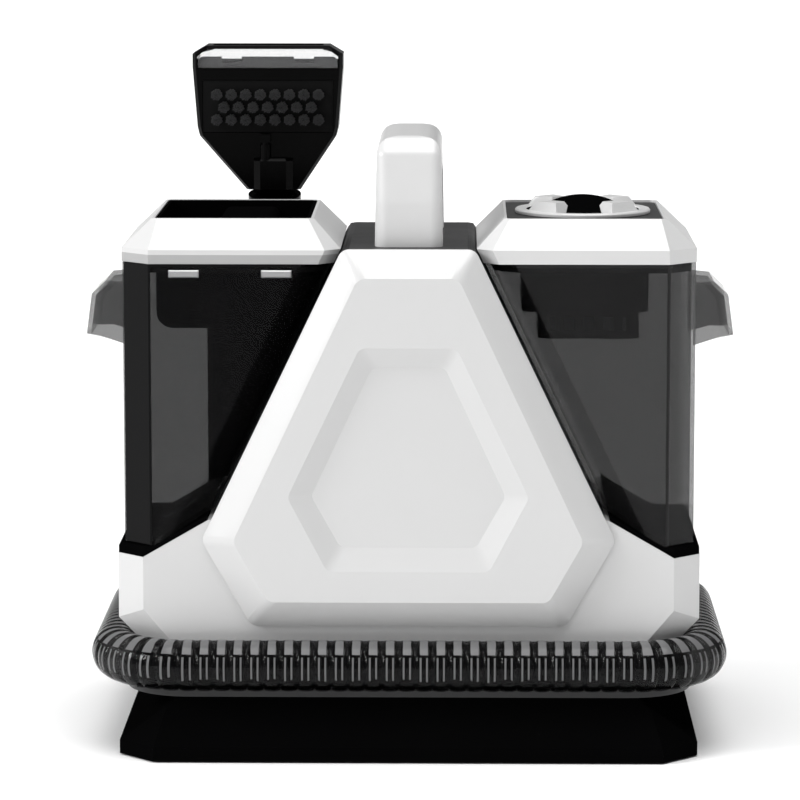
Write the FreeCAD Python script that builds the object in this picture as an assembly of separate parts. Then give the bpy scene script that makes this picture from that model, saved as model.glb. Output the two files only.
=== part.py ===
import FreeCAD, Part
import math
import os

# Compact twin-tank spot cleaner. Millimetres. X runs across the machine, -Y is its front,
# Z is up, and the origin is the middle of the flat underside that stands on the floor.

# Shared
WALL = 2.5                      # moulded casing wall
RIM_GAP = 0.4                   # clearance under a removable piece
LINE_SLOPE = math.tan(math.radians(30))   # rise of the cradle line towards the tower

# Base
BASE_X = 169.3                  # half width of the base plate
BASE_Y = 125.0                  # half depth of the base plate
BASE_CUT = 21.0                 # corner chamfer of the base plate
BASE_TOP = 8.4
SKIRT_X = 142.0                 # half width where the skirt corners run out
SKIRT_Y = 113.0
SKIRT_MID = 30.0
DECK_X = 134.5
DECK_Y = 109.7
DECK_Z = 36.0
PLATE_INSET = 4.0
FLOOR_THICK = 2.5
FOOT_R = 12.0
FOOT_DEEP = 1.5
FOOT_AT = (112.0, 84.0)

# Hose channel and hose
LEDGE_TOP = 40.0
LEDGE_X = 166.0
LEDGE_Y = 112.0
DRUM_X = 157.0
DRUM_Y = 99.5
DRUM_R = 30.0
HOSE_R = 15.0
HOSE_BORE = 12.0
HOSE_Z = 55.5
HOSE_X = 173.0
HOSE_Y = 115.5
HOSE_CORNER = 26.9              # how far each corner of the route is cut
ELBOW_X = -8.0
ELBOW_END = 14.0
TOOL_X = -85.4
CUFF_LOW = 112.0
CUFF_HIGH = 131.0

# White lower body
BODY_X = 170.7
BODY_Y = 100.0
BODY_CUT = 15.7
BODY_LOW = 67.0
BODY_LOW_X = 160.0
BODY_FRONT_LOW_X = 139.3           # where the corner bevel meets the front's lower edge
BODY_BEND = 85.5                   # top of the corner bevel on the front
BODY_SIDE_BEND = 78.0              # top of the bevel along the sides
BODY_TOP = 116.6                # flat line at the corners
LINE_X = 155.0                  # where the line starts to rise
TOWER_FOOT_X = 116.8
TOWER_FOOT_Z = BODY_TOP + (LINE_X - TOWER_FOOT_X) * LINE_SLOPE
SHELF_TOP = 112.0
SHELF_Y = 58.0

# Tower
TOWER_TOP = 297.5
TOWER_TOP_X = 38.0
FLANK = 0.482                   # sideways run of the tower flank per mm of height
TOWER_FRONT = -100.0
TOWER_BACK = 57.5
TOWER_ROUND = 6.0

# Front cover: (z, half width) of the top, widest and bottom edges of each outline
COVER_RIM = ((297.5, 38.5), (127.0, 120.7), (76.5, 92.0))
COVER_FACE = ((281.8, 29.0), (128.2, 101.7), (92.6, 81.5))
RECESS_RIM = ((241.6, 28.0), (154.3, 70.0), (110.6, 47.0))
RECESS_FLOOR = ((229.7, 21.0), (154.3, 56.4), (124.2, 39.5))
COVER_BACK_Y = -100.2
COVER_RIM_Y = -102.5
COVER_FACE_Y = -114.0
RECESS_DEEP = 5.0

# Tanks (the right one is described, the left one is its mirror image)
TANK_X = 167.0
TANK_FRONT = -97.0
TANK_BACK = 50.0
TANK_LOW = 123.0
TANK_KNEE = 149.0               # where the sloping bottom starts
TANK_TOP = 288.0
TANK_CUT = 16.0
TANK_FLANK_GAP = 1.6
SEAT_X = 170.4
SEAT_BACK = 53.0
SEAT_CUT = 1.8

# Lids
LID_LOW = TANK_TOP + RIM_GAP
LID_BEND = 296.5
LID_TOP = 313.5
LID_THICK = 3.0
LID_OPEN = (57.0, 148.0, -81.4, 34.0)      # opening in the lid top: x, x, y, y
LID_OPEN_R = 3.0
FIT = 0.4                          # clearance of what fills a lid's opening
POCKET_OUT_X = LID_OPEN[1] - FIT
POCKET_IN_X = LID_OPEN[0] + FIT
POCKET_Y = (LID_OPEN[2] + FIT, LID_OPEN[3] - FIT)
POCKET_LOW = 249.0
POCKET_TOP = 313.2
POCKET_WALL = 2.0
KNOB_AT = (102.3, -29.5)
PANEL_LOW = 307.0
PANEL_TOP = 312.2                  # face of the panel in the dirty tank's lid
KNOB_GAP = 0.3                     # clearance round and under the turning knob
RING_OUT = 40.1                    # outer radius of the knob's ring
RING_IN = 33.6
RING_HIGH = 2.4
LUG_TOP = 320.3
LUG_OUT = 35.4                     # how far out the foot of a finger lug reaches
DOME_R = 46.0
DOME_MIDDLE = 276.9                # height of the centre of the dome's sphere
SHAFT_R = 8.6
SHAFT_HOLE_R = 9.0
SEPARATOR_LOW = 258.0
SEPARATOR_TOP = 306.8
SEPARATOR_PLAN = (66.0, 140.0, -74.0, 20.0)
SEPARATOR_WALL = 2.0
CAGE_PLAN = (75.7, 135.0, -64.0, 10.0)
CAGE_DEEP = 17.0
FLOAT_PLAN = (84.0, 128.0, -52.0, -2.0)
FLOAT_HIGH = 12.0

# Handle
HANDLE_X = 19.8
HANDLE_TOP = 361.0
HANDLE_FRONT = -90.0
HANDLE_BACK = 46.0
HANDLE_ROUND = 7.0

# Cleaning tool, parked upright behind the left tank
TOOL_LEAN = math.radians(12)
NECK_Z = 317.0
HEAD_X = -88.8                     # middle of the tool's head
HEAD_TOP = 405.4
NECK_Y = 76.0
SOLE_Y = 63.0
HEAD_BACK = 97.0
TUFT_TIP = 55.8
SLOT_LOW = 391.6                   # see-through slot near the lip of the head
SLOT_TOP = 403.4
BACK_SLOT_LOW = 395.6              # its counterpart in the back of the head
PANEL_HALF_X = 40.3                # brush panel let into the front of the head
PANEL_Z = (352.0, 384.2)

# Drive parts
MOTOR_AT = (0.0, -20.0)
VALVE_AT = (-140.0, 0.0)
BUTTON_AT = (62.0, 80.0)
VENT_X = 33.0                   # middle of the air outlet slots in the back panel


def vec(x, y, z):
    return FreeCAD.Vector(x, y, z)


X_AXIS = vec(1, 0, 0)
Y_AXIS = vec(0, 1, 0)
Z_AXIS = vec(0, 0, 1)


def mirrored(shape):
    """The same piece on the other side of the machine."""
    return shape.mirror(vec(0, 0, 0), X_AXIS)


def closed_wire(points):
    return Part.makePolygon(list(points) + [points[0]])


def solid_between(wires):
    """Flat-sided solid through matching outlines."""
    return Part.makeLoft(wires, True, True)


def xz_prism(points, y0, y1):
    wire = closed_wire([vec(x, y0, z) for x, z in points])
    return Part.Face(wire).extrude(vec(0, y1 - y0, 0))


def xy_prism(points, z0, z1):
    wire = closed_wire([vec(x, y, z0) for x, y in points])
    return Part.Face(wire).extrude(vec(0, 0, z1 - z0))


def box(x0, x1, y0, y1, z0, z1):
    return Part.makeBox(x1 - x0, y1 - y0, z1 - z0, vec(x0, y0, z0))


def cylinder(radius, base, height, axis=Z_AXIS):
    return Part.makeCylinder(radius, height, base, axis)


def ring(outer, inner, base, height, axis=Z_AXIS):
    return cylinder(outer, base, height, axis).cut(cylinder(inner, base, height, axis))


def joined(shapes):
    return shapes[0].multiFuse(shapes[1:]).removeSplitter()


def corner_arc(before, corner, after, radius):
    """Start, middle and end of the round that replaces a corner."""
    to_before = (before - corner).normalize()
    to_after = (after - corner).normalize()
    half = to_before.getAngle(to_after) / 2
    bisector = (to_before + to_after).normalize()
    centre = corner + bisector * (radius / math.sin(half))
    reach = radius / math.tan(half)
    return corner + to_before * reach, centre - bisector * radius, corner + to_after * reach


def round_wire(points, radius):
    """Closed outline with every corner rounded."""
    count = len(points)
    edges = []
    for i in range(count):
        start, middle, end = corner_arc(points[i - 1], points[i], points[(i + 1) % count], radius)
        next_start = corner_arc(points[i], points[(i + 1) % count], points[(i + 2) % count], radius)[0]
        edges.append(Part.Arc(start, middle, end).toShape())
        edges.append(Part.LineSegment(end, next_start).toShape())
    return Part.Wire(edges)


def round_box(x0, x1, y0, y1, z0, z1, radius):
    corners = [vec(x0, y0, z0), vec(x1, y0, z0), vec(x1, y1, z0), vec(x0, y1, z0)]
    return Part.Face(round_wire(corners, radius)).extrude(vec(0, 0, z1 - z0))


def octagon(x0, x1, y0, y1, cut, z, inner_cut=None):
    """Chamfered rectangle at height z; inner_cut is the chamfer at the x0 corners."""
    inner = cut if inner_cut is None else inner_cut
    return closed_wire([vec(x0 + inner, y0, z), vec(x1 - cut, y0, z), vec(x1, y0 + cut, z),
                        vec(x1, y1 - cut, z), vec(x1 - cut, y1, z), vec(x0 + inner, y1, z),
                        vec(x0, y1 - inner, z), vec(x0, y0 + inner, z)])


def centred_octagon(half_x, half_y, cut, z):
    return octagon(-half_x, half_x, -half_y, half_y, cut, z)


# ---------------------------------------------------------------- base and hose channel

def screw_places():
    return [(x, y) for x in (-118.0, 0.0, 118.0) for y in (-98.0, 98.0)]


def base_tray():
    """Heavy gloss base: an octagonal plate with a sloping skirt, open below."""
    plate = solid_between([centred_octagon(BASE_X, BASE_Y, BASE_CUT, 0.4),
                           centred_octagon(BASE_X, BASE_Y, BASE_CUT, BASE_TOP)])
    skirt = solid_between([centred_octagon(BASE_X - 0.2, BASE_Y - 0.2, BASE_CUT, BASE_TOP),
                           centred_octagon(SKIRT_X, SKIRT_Y, 1.0, SKIRT_MID),
                           centred_octagon(DECK_X, DECK_Y, 1.0, DECK_Z)])
    hollow = solid_between([centred_octagon(BASE_X - PLATE_INSET, BASE_Y - PLATE_INSET, BASE_CUT, 0.3),
                            centred_octagon(BASE_X - PLATE_INSET, BASE_Y - PLATE_INSET, BASE_CUT, 5.0),
                            centred_octagon(DECK_X - 3, DECK_Y - 3, 1.0, DECK_Z - WALL)])
    shell = plate.fuse(skirt).cut(hollow)
    bosses = [ring(5.0, 1.6, vec(x, y, 3.0), DECK_Z - WALL - 3.0) for x, y in screw_places()]
    return joined([shell] + bosses)


def bottom_plate():
    """Flat closing plate that the machine stands on."""
    inset = PLATE_INSET + 0.3
    plate = solid_between([centred_octagon(BASE_X - inset, BASE_Y - inset, BASE_CUT, 0.0),
                           centred_octagon(BASE_X - inset, BASE_Y - inset, BASE_CUT, FLOOR_THICK)])
    for x, y in screw_places():
        plate = plate.cut(cylinder(3.4, vec(x, y, 0), FLOOR_THICK))
    for x, y in foot_places():
        plate = plate.cut(cylinder(FOOT_R + 0.2, vec(x, y, 0), FOOT_DEEP))
    return plate


def foot_places():
    return [(sx * FOOT_AT[0], sy * FOOT_AT[1]) for sx in (-1, 1) for sy in (-1, 1)]


def rubber_feet():
    return Part.makeCompound([cylinder(FOOT_R, vec(x, y, 0), FOOT_DEEP) for x, y in foot_places()])


def bottom_screws():
    screws = []
    for x, y in screw_places():
        head = cylinder(3.1, vec(x, y, 0.6), FLOOR_THICK - 0.7)
        shank = cylinder(1.5, vec(x, y, FLOOR_THICK - 0.2), 11.0)
        slot = box(x - 2.2, x + 2.2, y - 0.4, y + 0.4, 0.5, 1.4)
        screws.append(head.fuse(shank).cut(slot))
    return Part.makeCompound(screws)


def hose_drum():
    """Waist that the stored hose is wound round, with the ledge that carries it."""
    ledge = round_box(-LEDGE_X, LEDGE_X, -LEDGE_Y, LEDGE_Y, DECK_Z + 0.1, LEDGE_TOP, 38.0)
    drum = round_box(-DRUM_X, DRUM_X, -DRUM_Y, DRUM_Y, LEDGE_TOP, BODY_LOW - 0.1, DRUM_R)
    inside = round_box(-DRUM_X + WALL, DRUM_X - WALL, -DRUM_Y + WALL, DRUM_Y - WALL,
                       LEDGE_TOP, BODY_LOW, DRUM_R - WALL)
    outlet = cylinder(11.3, vec(ELBOW_X, DRUM_Y - 8, HOSE_Z), 16, Y_AXIS)
    return ledge.fuse(drum).cut(inside).cut(outlet).removeSplitter()


def hose_elbow():
    """Outlet on the back that turns the hose into its channel."""
    bend = vec(ELBOW_X, HOSE_Y, HOSE_Z)
    outer = [cylinder(HOSE_R - 0.5, bend, ELBOW_END - ELBOW_X, X_AXIS),
             Part.makeSphere(HOSE_R - 0.5, bend),
             cylinder(11.2, vec(ELBOW_X, 90.0, HOSE_Z), HOSE_Y - 90.0, Y_AXIS)]
    bore = [cylinder(9.0, bend, ELBOW_END - ELBOW_X, X_AXIS),
            Part.makeSphere(9.0, bend),
            cylinder(9.0, vec(ELBOW_X, 90.0, HOSE_Z), HOSE_Y - 90.0, Y_AXIS)]
    return joined(outer).cut(joined(bore))


def hose_route():
    """Hand-set points of the hose: once round the channel, then up to the tool."""
    cut = HOSE_CORNER
    return [vec(ELBOW_END, HOSE_Y, HOSE_Z),
            vec(HOSE_X - cut, HOSE_Y, HOSE_Z), vec(HOSE_X, HOSE_Y - cut, HOSE_Z),
            vec(HOSE_X, cut - HOSE_Y, HOSE_Z), vec(HOSE_X - cut, -HOSE_Y, HOSE_Z),
            vec(cut - HOSE_X, -HOSE_Y, HOSE_Z), vec(-HOSE_X, cut - HOSE_Y, HOSE_Z),
            vec(-HOSE_X, HOSE_Y - cut, HOSE_Z), vec(cut - HOSE_X, HOSE_Y, HOSE_Z),
            vec(TOOL_X - 24.6, HOSE_Y, HOSE_Z), vec(TOOL_X, HOSE_Y, HOSE_Z + 24.6),
            vec(TOOL_X, HOSE_Y, CUFF_LOW)]


def cord_path(points):
    """Straight runs joined by tangent arcs, each as large as its two runs allow."""
    edges = []
    radii = []
    start = points[0]
    for before, corner, after in zip(points, points[1:], points[2:]):
        turn = math.pi - (before - corner).getAngle(after - corner)
        shorter = min((before - corner).Length, (after - corner).Length)
        radius = 0.45 * shorter / math.tan(turn / 2)
        arc_start, arc_middle, arc_end = corner_arc(before, corner, after, radius)
        edges.append(Part.LineSegment(start, arc_start).toShape())
        edges.append(Part.Arc(arc_start, arc_middle, arc_end).toShape())
        radii.append(round(radius, 1))
        start = arc_end
    edges.append(Part.LineSegment(start, points[-1]).toShape())
    return Part.Wire(edges), radii


def swept_rod(path, radius, points):
    circle = Part.Wire(Part.makeCircle(radius, points[0], points[1] - points[0]))
    return path.makePipeShell([circle], True, False)


def hose():
    points = hose_route()
    path, radii = cord_path(points)
    tube = swept_rod(path, HOSE_R, points).cut(swept_rod(path, HOSE_BORE, points))
    section = math.pi * (HOSE_R ** 2 - HOSE_BORE ** 2)
    print("hose length", round(path.Length, 1), "radii", radii,
          "volume ratio", round(tube.Volume / (section * path.Length), 4))
    return tube


# ---------------------------------------------------------------- casings

def line_z(x):
    """Height of the white body's top line at a distance x from the middle."""
    return BODY_TOP + max(0.0, LINE_X - x) * LINE_SLOPE


def beyond(point, normal):
    """Block that fills the space past a plane."""
    reach = 200.0
    block = Part.makeBox(2 * reach, 2 * reach, 80.0, vec(-reach, -reach, 0))
    block.Placement = FreeCAD.Placement(point, FreeCAD.Rotation(Z_AXIS, normal))
    return block


def side_bevel(side, inset):
    """What the bevel along a side's lower edge takes away."""
    low = vec(side * BODY_LOW_X, 0, BODY_LOW)
    high = vec(side * BODY_X, 0, BODY_SIDE_BEND)
    normal = (high - low).cross(vec(0, -side, 0)).normalize()
    return beyond(low - normal * inset, normal)


def corner_bevel(side, end, inset):
    """What the bevel across a lower corner takes away."""
    low = vec(side * BODY_FRONT_LOW_X, end * BODY_Y, BODY_LOW)
    front = vec(side * (BODY_X - BODY_CUT), end * BODY_Y, BODY_BEND)
    outer = vec(side * BODY_X, end * (BODY_Y - BODY_CUT), BODY_SIDE_BEND)
    normal = (front - low).cross(outer - low).normalize()
    if normal.z > 0:
        normal = normal * -1
    return beyond(low - normal * inset, normal)


def body_block(inset):
    """Outer form of the lower body, shrunk by inset on every wall and on top."""
    x = BODY_X - inset
    y = BODY_Y - inset
    outline = solid_between([centred_octagon(x, y, BODY_CUT, BODY_LOW),
                             centred_octagon(x, y, BODY_CUT, TOWER_FOOT_Z)])
    for side in (-1, 1):
        outline = outline.cut(side_bevel(side, inset))
        for end in (-1, 1):
            outline = outline.cut(corner_bevel(side, end, inset))
    half = [(BODY_X, BODY_TOP - inset), (LINE_X, BODY_TOP - inset),
            (TOWER_FOOT_X, TOWER_FOOT_Z - inset)]
    other_half = [(-px, pz) for px, pz in reversed(half)]
    profile = [(-BODY_X, BODY_LOW), (BODY_X, BODY_LOW)] + half + other_half
    front_part = xz_prism(profile, -BODY_Y, SHELF_Y - inset)
    rear_part = box(-BODY_X, BODY_X, -BODY_Y, BODY_Y, BODY_LOW, SHELF_TOP - inset)
    return outline.common(front_part.fuse(rear_part))


def lower_body():
    """White lower casing: rising top line in front, flat shelf behind the tanks."""
    shell = body_block(0.0).cut(body_block(WALL))
    shell = shell.cut(box(-96.0, 96.0, -92.0, 55.4, 120.0, 140.0))
    for x in (VALVE_AT[0], -VALVE_AT[0]):
        shell = shell.cut(cylinder(13.0, vec(x, 0, 100.0), 40.0))
    shell = shell.cut(cylinder(11.5, vec(BUTTON_AT[0], BUTTON_AT[1], 100.0), 20.0))
    shell = shell.cut(cylinder(7.2, vec(104.0, 90.0, 90.0), 20.0, Y_AXIS))
    for x, z in rear_screw_places():
        shell = shell.cut(cylinder(1.6, vec(x, SHELF_Y - 10.0, z), 20.0, Y_AXIS))
    return shell


def flank_x(z):
    return TOWER_TOP_X + FLANK * (TOWER_TOP - z)


def tower_block(inset):
    low = TOWER_FOOT_Z + 0.1
    side = inset * math.hypot(1.0, FLANK)
    top = TOWER_TOP - inset
    profile = [(-flank_x(low) + side, low), (flank_x(low) - side, low),
               (flank_x(top) - side, top), (side - flank_x(top), top)]
    return xz_prism(profile, TOWER_FRONT + inset, TOWER_BACK)


def tower_housing():
    """Dark central tower: open below and behind, flanks parallel to the tanks."""
    block = tower_block(0.0)
    top_edges = [edge for edge in block.Edges
                 if edge.BoundBox.ZMin > TOWER_TOP - 0.1 and edge.BoundBox.YLength > 50]
    rounded = block.makeFillet(TOWER_ROUND, top_edges)
    shell = rounded.cut(tower_block(WALL))
    for x in (-12.0, 12.0):
        for y in (-78.0, 34.0):
            shell = shell.cut(cylinder(2.2, vec(x, y, TOWER_TOP - 5.0), 10.0))
    return shell


def hexagon(outline, y, inset=0.0, radius=7.0):
    """Hexagon standing at depth y: (z, half width) at its top, widest and bottom edges."""
    (top_z, top_x), (mid_z, mid_x), (low_z, low_x) = outline
    points = [vec(low_x - inset, y, low_z + inset), vec(mid_x - inset, y, mid_z),
              vec(top_x - inset, y, top_z - inset), vec(inset - top_x, y, top_z - inset),
              vec(inset - mid_x, y, mid_z), vec(inset - low_x, y, low_z + inset)]
    return round_wire(points, radius)


def blended(outline_a, outline_b, share):
    return tuple(tuple(a + (b - a) * share for a, b in zip(pair_a, pair_b))
                 for pair_a, pair_b in zip(outline_a, outline_b))


def front_cover():
    """Bevelled six-sided cover with a sunk panel, hollow behind."""
    body = solid_between([hexagon(COVER_RIM, COVER_BACK_Y), hexagon(COVER_RIM, COVER_RIM_Y),
                          hexagon(COVER_FACE, COVER_FACE_Y)])
    recess = solid_between([hexagon(RECESS_RIM, COVER_FACE_Y - 0.01, 0.0, 6.0),
                            hexagon(RECESS_FLOOR, COVER_FACE_Y + RECESS_DEEP, 0.0, 6.0)])
    depth = COVER_FACE_Y + RECESS_DEEP + WALL
    share = (depth - COVER_RIM_Y) / (COVER_FACE_Y - COVER_RIM_Y)
    inner = blended(COVER_RIM, COVER_FACE, share)
    hollow = solid_between([hexagon(COVER_RIM, COVER_BACK_Y + 0.01, 3.0, 5.0),
                            hexagon(inner, depth, 3.0, 5.0)])
    return body.cut(recess).cut(hollow)


def rear_outline(y, inset):
    low = SHELF_TOP + 0.6
    top = TOWER_TOP - inset
    return closed_wire([vec(-flank_x(TOWER_FOOT_Z) + inset, y, low),
                        vec(flank_x(TOWER_FOOT_Z) - inset, y, low),
                        vec(flank_x(TOWER_FOOT_Z) - inset, y, TOWER_FOOT_Z),
                        vec(flank_x(top) - inset, y, top), vec(inset - flank_x(top), y, top),
                        vec(inset - flank_x(TOWER_FOOT_Z), y, TOWER_FOOT_Z)])


def rear_cover():
    """Back panel of the tower with the air outlet slots."""
    back = SHELF_Y + 3.0
    panel = solid_between([rear_outline(SHELF_Y + 0.1, 0.5), rear_outline(back - 1.0, 0.5),
                           rear_outline(back, 1.5)])
    for row in range(8):
        z = 176.0 + 8.0 * row
        panel = panel.cut(round_slot(VENT_X, z, 20.0))
    for x, z in rear_screw_places():
        panel = panel.cut(cylinder(1.7, vec(x, SHELF_Y - 1, z), 6.0, Y_AXIS))
    return panel


def round_slot(x, z, half_width):
    """Level slot with round ends, cut from front to back."""
    y0 = SHELF_Y - 1.0
    depth = 6.0
    bar = box(x - half_width, x + half_width, y0, y0 + depth, z - 1.6, z + 1.6)
    ends = [cylinder(1.6, vec(x + side * half_width, y0, z), depth, Y_AXIS) for side in (-1, 1)]
    return joined([bar] + ends)


def rear_screw_places():
    return [(side * x, z) for side in (-1, 1) for x, z in ((33.0, 280.0), (40.0, 128.0))]


def rear_screws():
    screws = []
    face = SHELF_Y + 3.1
    for x, z in rear_screw_places():
        head = Part.makeCone(3.0, 2.2, 1.8, vec(x, face, z), Y_AXIS)
        shank = cylinder(1.5, vec(x, face - 9.0, z), 9.0, Y_AXIS)
        slot = box(x - 2.0, x + 2.0, face + 0.9, face + 2.0, z - 0.35, z + 0.35)
        screws.append(head.fuse(shank).cut(slot))
    return Part.makeCompound(screws)


def exhaust_filter():
    """Foam pad behind the air outlet slots."""
    return round_box(VENT_X - 26.0, VENT_X + 26.0, 49.0, 57.4, 170.0, 238.0, 3.0)


def handle_side(x):
    """Side outline of the carrying handle: upright foot, then leaning back to the top."""
    points = [(HANDLE_FRONT, TOWER_TOP), (HANDLE_FRONT, 323.0), (-83.5, 352.0),
              (-74.0, HANDLE_TOP), (30.0, HANDLE_TOP), (HANDLE_BACK - 4.0, 344.0),
              (HANDLE_BACK, TOWER_TOP)]
    outer = [vec(x, y, z) for y, z in points]
    return Part.Face(round_corners(outer, {1: 24.0, 2: 7.0, 3: 8.0, 4: 16.0, 5: 14.0}))


def handle_front():
    """Front outline of the carrying handle: slightly tapered with a crowned top."""
    shoulder = HANDLE_TOP - 2.2
    crown = HANDLE_X / 3
    points = [(-HANDLE_X, TOWER_TOP - 30.0), (-HANDLE_X, TOWER_TOP), (-HANDLE_X + 1.2, shoulder),
              (-crown, HANDLE_TOP), (crown, HANDLE_TOP), (HANDLE_X - 1.2, shoulder),
              (HANDLE_X, TOWER_TOP), (HANDLE_X, TOWER_TOP - 30.0)]
    outer = [vec(x, HANDLE_FRONT - 10.0, z) for x, z in points]
    return Part.Face(round_corners(outer, {2: 10.0, 3: 20.0, 4: 20.0, 5: 10.0}))


def round_corners(points, radii):
    """Closed outline where only the listed corners are rounded."""
    count = len(points)
    edges = []
    ends = []
    for i in range(count):
        if i in radii:
            ends.append(corner_arc(points[i - 1], points[i], points[(i + 1) % count], radii[i]))
        else:
            ends.append((points[i], None, points[i]))
    for i in range(count):
        start, middle, end = ends[i]
        if middle is not None:
            edges.append(Part.Arc(start, middle, end).toShape())
        edges.append(Part.LineSegment(end, ends[(i + 1) % count][0]).toShape())
    return Part.Wire(edges)


def carry_handle():
    """Fixed white carrying arch on top of the tower."""
    arch = handle_side(-HANDLE_X).extrude(vec(2 * HANDLE_X, 0, 0))
    gap = [vec(-HANDLE_X - 1, y, z) for y, z in
           ((-66.0, TOWER_TOP - 1), (-66.0, 338.5), (22.0, 338.5), (24.0, TOWER_TOP - 1))]
    gap_face = Part.Face(round_corners(gap, {1: 10.0, 2: 12.0}))
    side_edges = [edge for edge in arch.Edges
                  if edge.BoundBox.XLength < 0.01 and edge.BoundBox.ZMax > TOWER_TOP + 1]
    arch = arch.makeFillet(HANDLE_ROUND, side_edges)
    arch = arch.common(handle_front().extrude(vec(0, HANDLE_BACK - HANDLE_FRONT + 20.0, 0)))
    arch = arch.cut(gap_face.extrude(vec(2 * HANDLE_X + 2, 0, 0)))
    arch = arch.cut(box(-40, 40, -150, 150, TOWER_TOP - 20, TOWER_TOP + 0.05))
    for x in (-12.0, 12.0):
        for y in (-78.0, 34.0):
            arch = arch.cut(cylinder(1.5, vec(x, y, TOWER_TOP), 14.0))
    return arch


def handle_screws():
    screws = []
    for x in (-12.0, 12.0):
        for y in (-78.0, 34.0):
            head = cylinder(3.4, vec(x, y, TOWER_TOP - WALL - 2.3), 2.2)
            shank = cylinder(1.4, vec(x, y, TOWER_TOP - WALL - 0.2), 14.0)
            screws.append(head.fuse(shank))
    return Part.makeCompound(screws)


# ---------------------------------------------------------------- tanks

def tank_section(y, wall, end_cut, top):
    """Outline of a tank at depth y, with its walls moved in by wall and its sides by end_cut."""
    side = wall + end_cut
    outer = TANK_X - side
    low = TANK_LOW + wall
    lean = side * math.hypot(1.0, FLANK)
    flank_0 = TOWER_TOP_X + TANK_FLANK_GAP + lean + FLANK * TOWER_TOP
    slope_0 = TANK_LOW + wall / math.cos(math.atan(LINE_SLOPE)) + TANK_KNEE * LINE_SLOPE
    knee = (slope_0 - low) / LINE_SLOPE
    meet_z = (slope_0 - flank_0 * LINE_SLOPE) / (1 - FLANK * LINE_SLOPE)
    meet_x = flank_0 - FLANK * meet_z
    return closed_wire([vec(outer, y, top), vec(outer, y, low), vec(knee, y, low),
                        vec(meet_x, y, meet_z), vec(flank_0 - FLANK * top, y, top)])


def tank_block(wall, top):
    cut = TANK_CUT - wall * (2 - math.sqrt(2))
    front = TANK_FRONT + wall
    back = TANK_BACK - wall
    return solid_between([tank_section(front, wall, cut, top),
                          tank_section(front + cut, wall, 0.0, top),
                          tank_section(back - cut, wall, 0.0, top),
                          tank_section(back, wall, cut, top)])


def tank_shell():
    """Clear tank: chamfered upright edges, one side leaning with the tower, open on top."""
    return tank_block(0.0, TANK_TOP).cut(tank_block(WALL, TANK_TOP + 10.0))


def clean_tank_shell():
    return mirrored(tank_shell()).cut(cylinder(5.2, vec(VALVE_AT[0], 0, 110.0), 40.0))


def dirty_tank_shell():
    return tank_shell()


GRIP_OUTER = ((TANK_X, 273.8), (179.5, 273.4), (188.0, 265.4), (191.2, 241.6), (TANK_X, 236.2))
GRIP_INNER = ((TANK_X, 271.4), (178.6, 271.0), (185.7, 264.4), (188.8, 241.6), (187.5, 232.0),
              (TANK_X, 230.0))
GRIP_FRONT = -57.0
GRIP_BACK = 10.0
GRIP_BEVEL = 8.0
GRIP_WALL = 2.4


def grip_end(points, y, inset):
    return closed_wire([vec(max(TANK_X, x - inset), y, z) for x, z in points])


def grip_form(points, wall):
    front = GRIP_FRONT + wall
    back = GRIP_BACK - wall
    return solid_between([grip_end(points, front, GRIP_BEVEL),
                          grip_end(points, front + GRIP_BEVEL, 0.0),
                          grip_end(points, back - GRIP_BEVEL, 0.0),
                          grip_end(points, back, GRIP_BEVEL)])


def tank_grip():
    """Hooded finger grip on the side of a tank, open below."""
    hood = grip_form(GRIP_OUTER, 0.0)
    return hood.cut(grip_form(GRIP_INNER, GRIP_WALL))


def clean_tank_grip():
    return mirrored(tank_grip())


def dirty_tank_grip():
    return tank_grip()


def lid_snap_tabs():
    """Pair of bright snap catches on the front of the clean water tank."""
    tabs = []
    for middle in (-130.2, -76.5):
        tab = box(middle - 8.8, middle + 8.8, TANK_FRONT - 1.6, TANK_FRONT, 280.5, 284.8)
        edges = [edge for edge in tab.Edges if edge.BoundBox.YMax < TANK_FRONT - 1.5]
        tabs.append(tab.makeChamfer(0.5, edges))
    return Part.makeCompound(tabs)


def tank_seat():
    """Dark cradle plate under a tank, following the white body's rising line."""
    inner_x = TOWER_FOOT_X + 0.4
    low = 0.1
    high = -RIM_GAP
    knee_high = TANK_LOW + high
    inner_high = TANK_LOW + (TANK_KNEE - inner_x) * LINE_SLOPE + high
    profile = [(SEAT_X, BODY_TOP + low), (SEAT_X, knee_high), (TANK_KNEE, knee_high),
               (inner_x, inner_high), (inner_x, line_z(inner_x) + low), (LINE_X, BODY_TOP + low)]
    slab = xz_prism(profile, -BODY_Y, SEAT_BACK)
    outline = xy_prism([(0, -BODY_Y), (LINE_X, -BODY_Y), (SEAT_X, BODY_CUT - BODY_Y),
                        (SEAT_X, SEAT_BACK), (0, SEAT_BACK)], 100.0, 160.0)
    seat = slab.common(outline)
    rim = [edge for edge in seat.Edges if is_seat_rim(edge)]
    seat = seat.makeChamfer(SEAT_CUT, rim)
    return seat.cut(cylinder(13.0, vec(-VALVE_AT[0], 0, 100.0), 60.0))


def is_seat_rim(edge):
    """Top edges along the front, the chamfered corner and the outer side."""
    size = edge.BoundBox
    middle = size.Center
    upright = size.ZLength > 1.0 and size.XLength < 0.1 and size.YLength < 0.1
    above = size.ZMin > line_z(size.XMax) + 1.5
    outside = middle.y < 1.0 - BODY_Y or middle.x > LINE_X + 1.0
    behind = size.YMin > SEAT_BACK - 1.0
    return above and outside and not upright and not behind


def clean_tank_seat():
    return mirrored(tank_seat())


def dirty_tank_seat():
    return tank_seat()


# ---------------------------------------------------------------- lids

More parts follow.
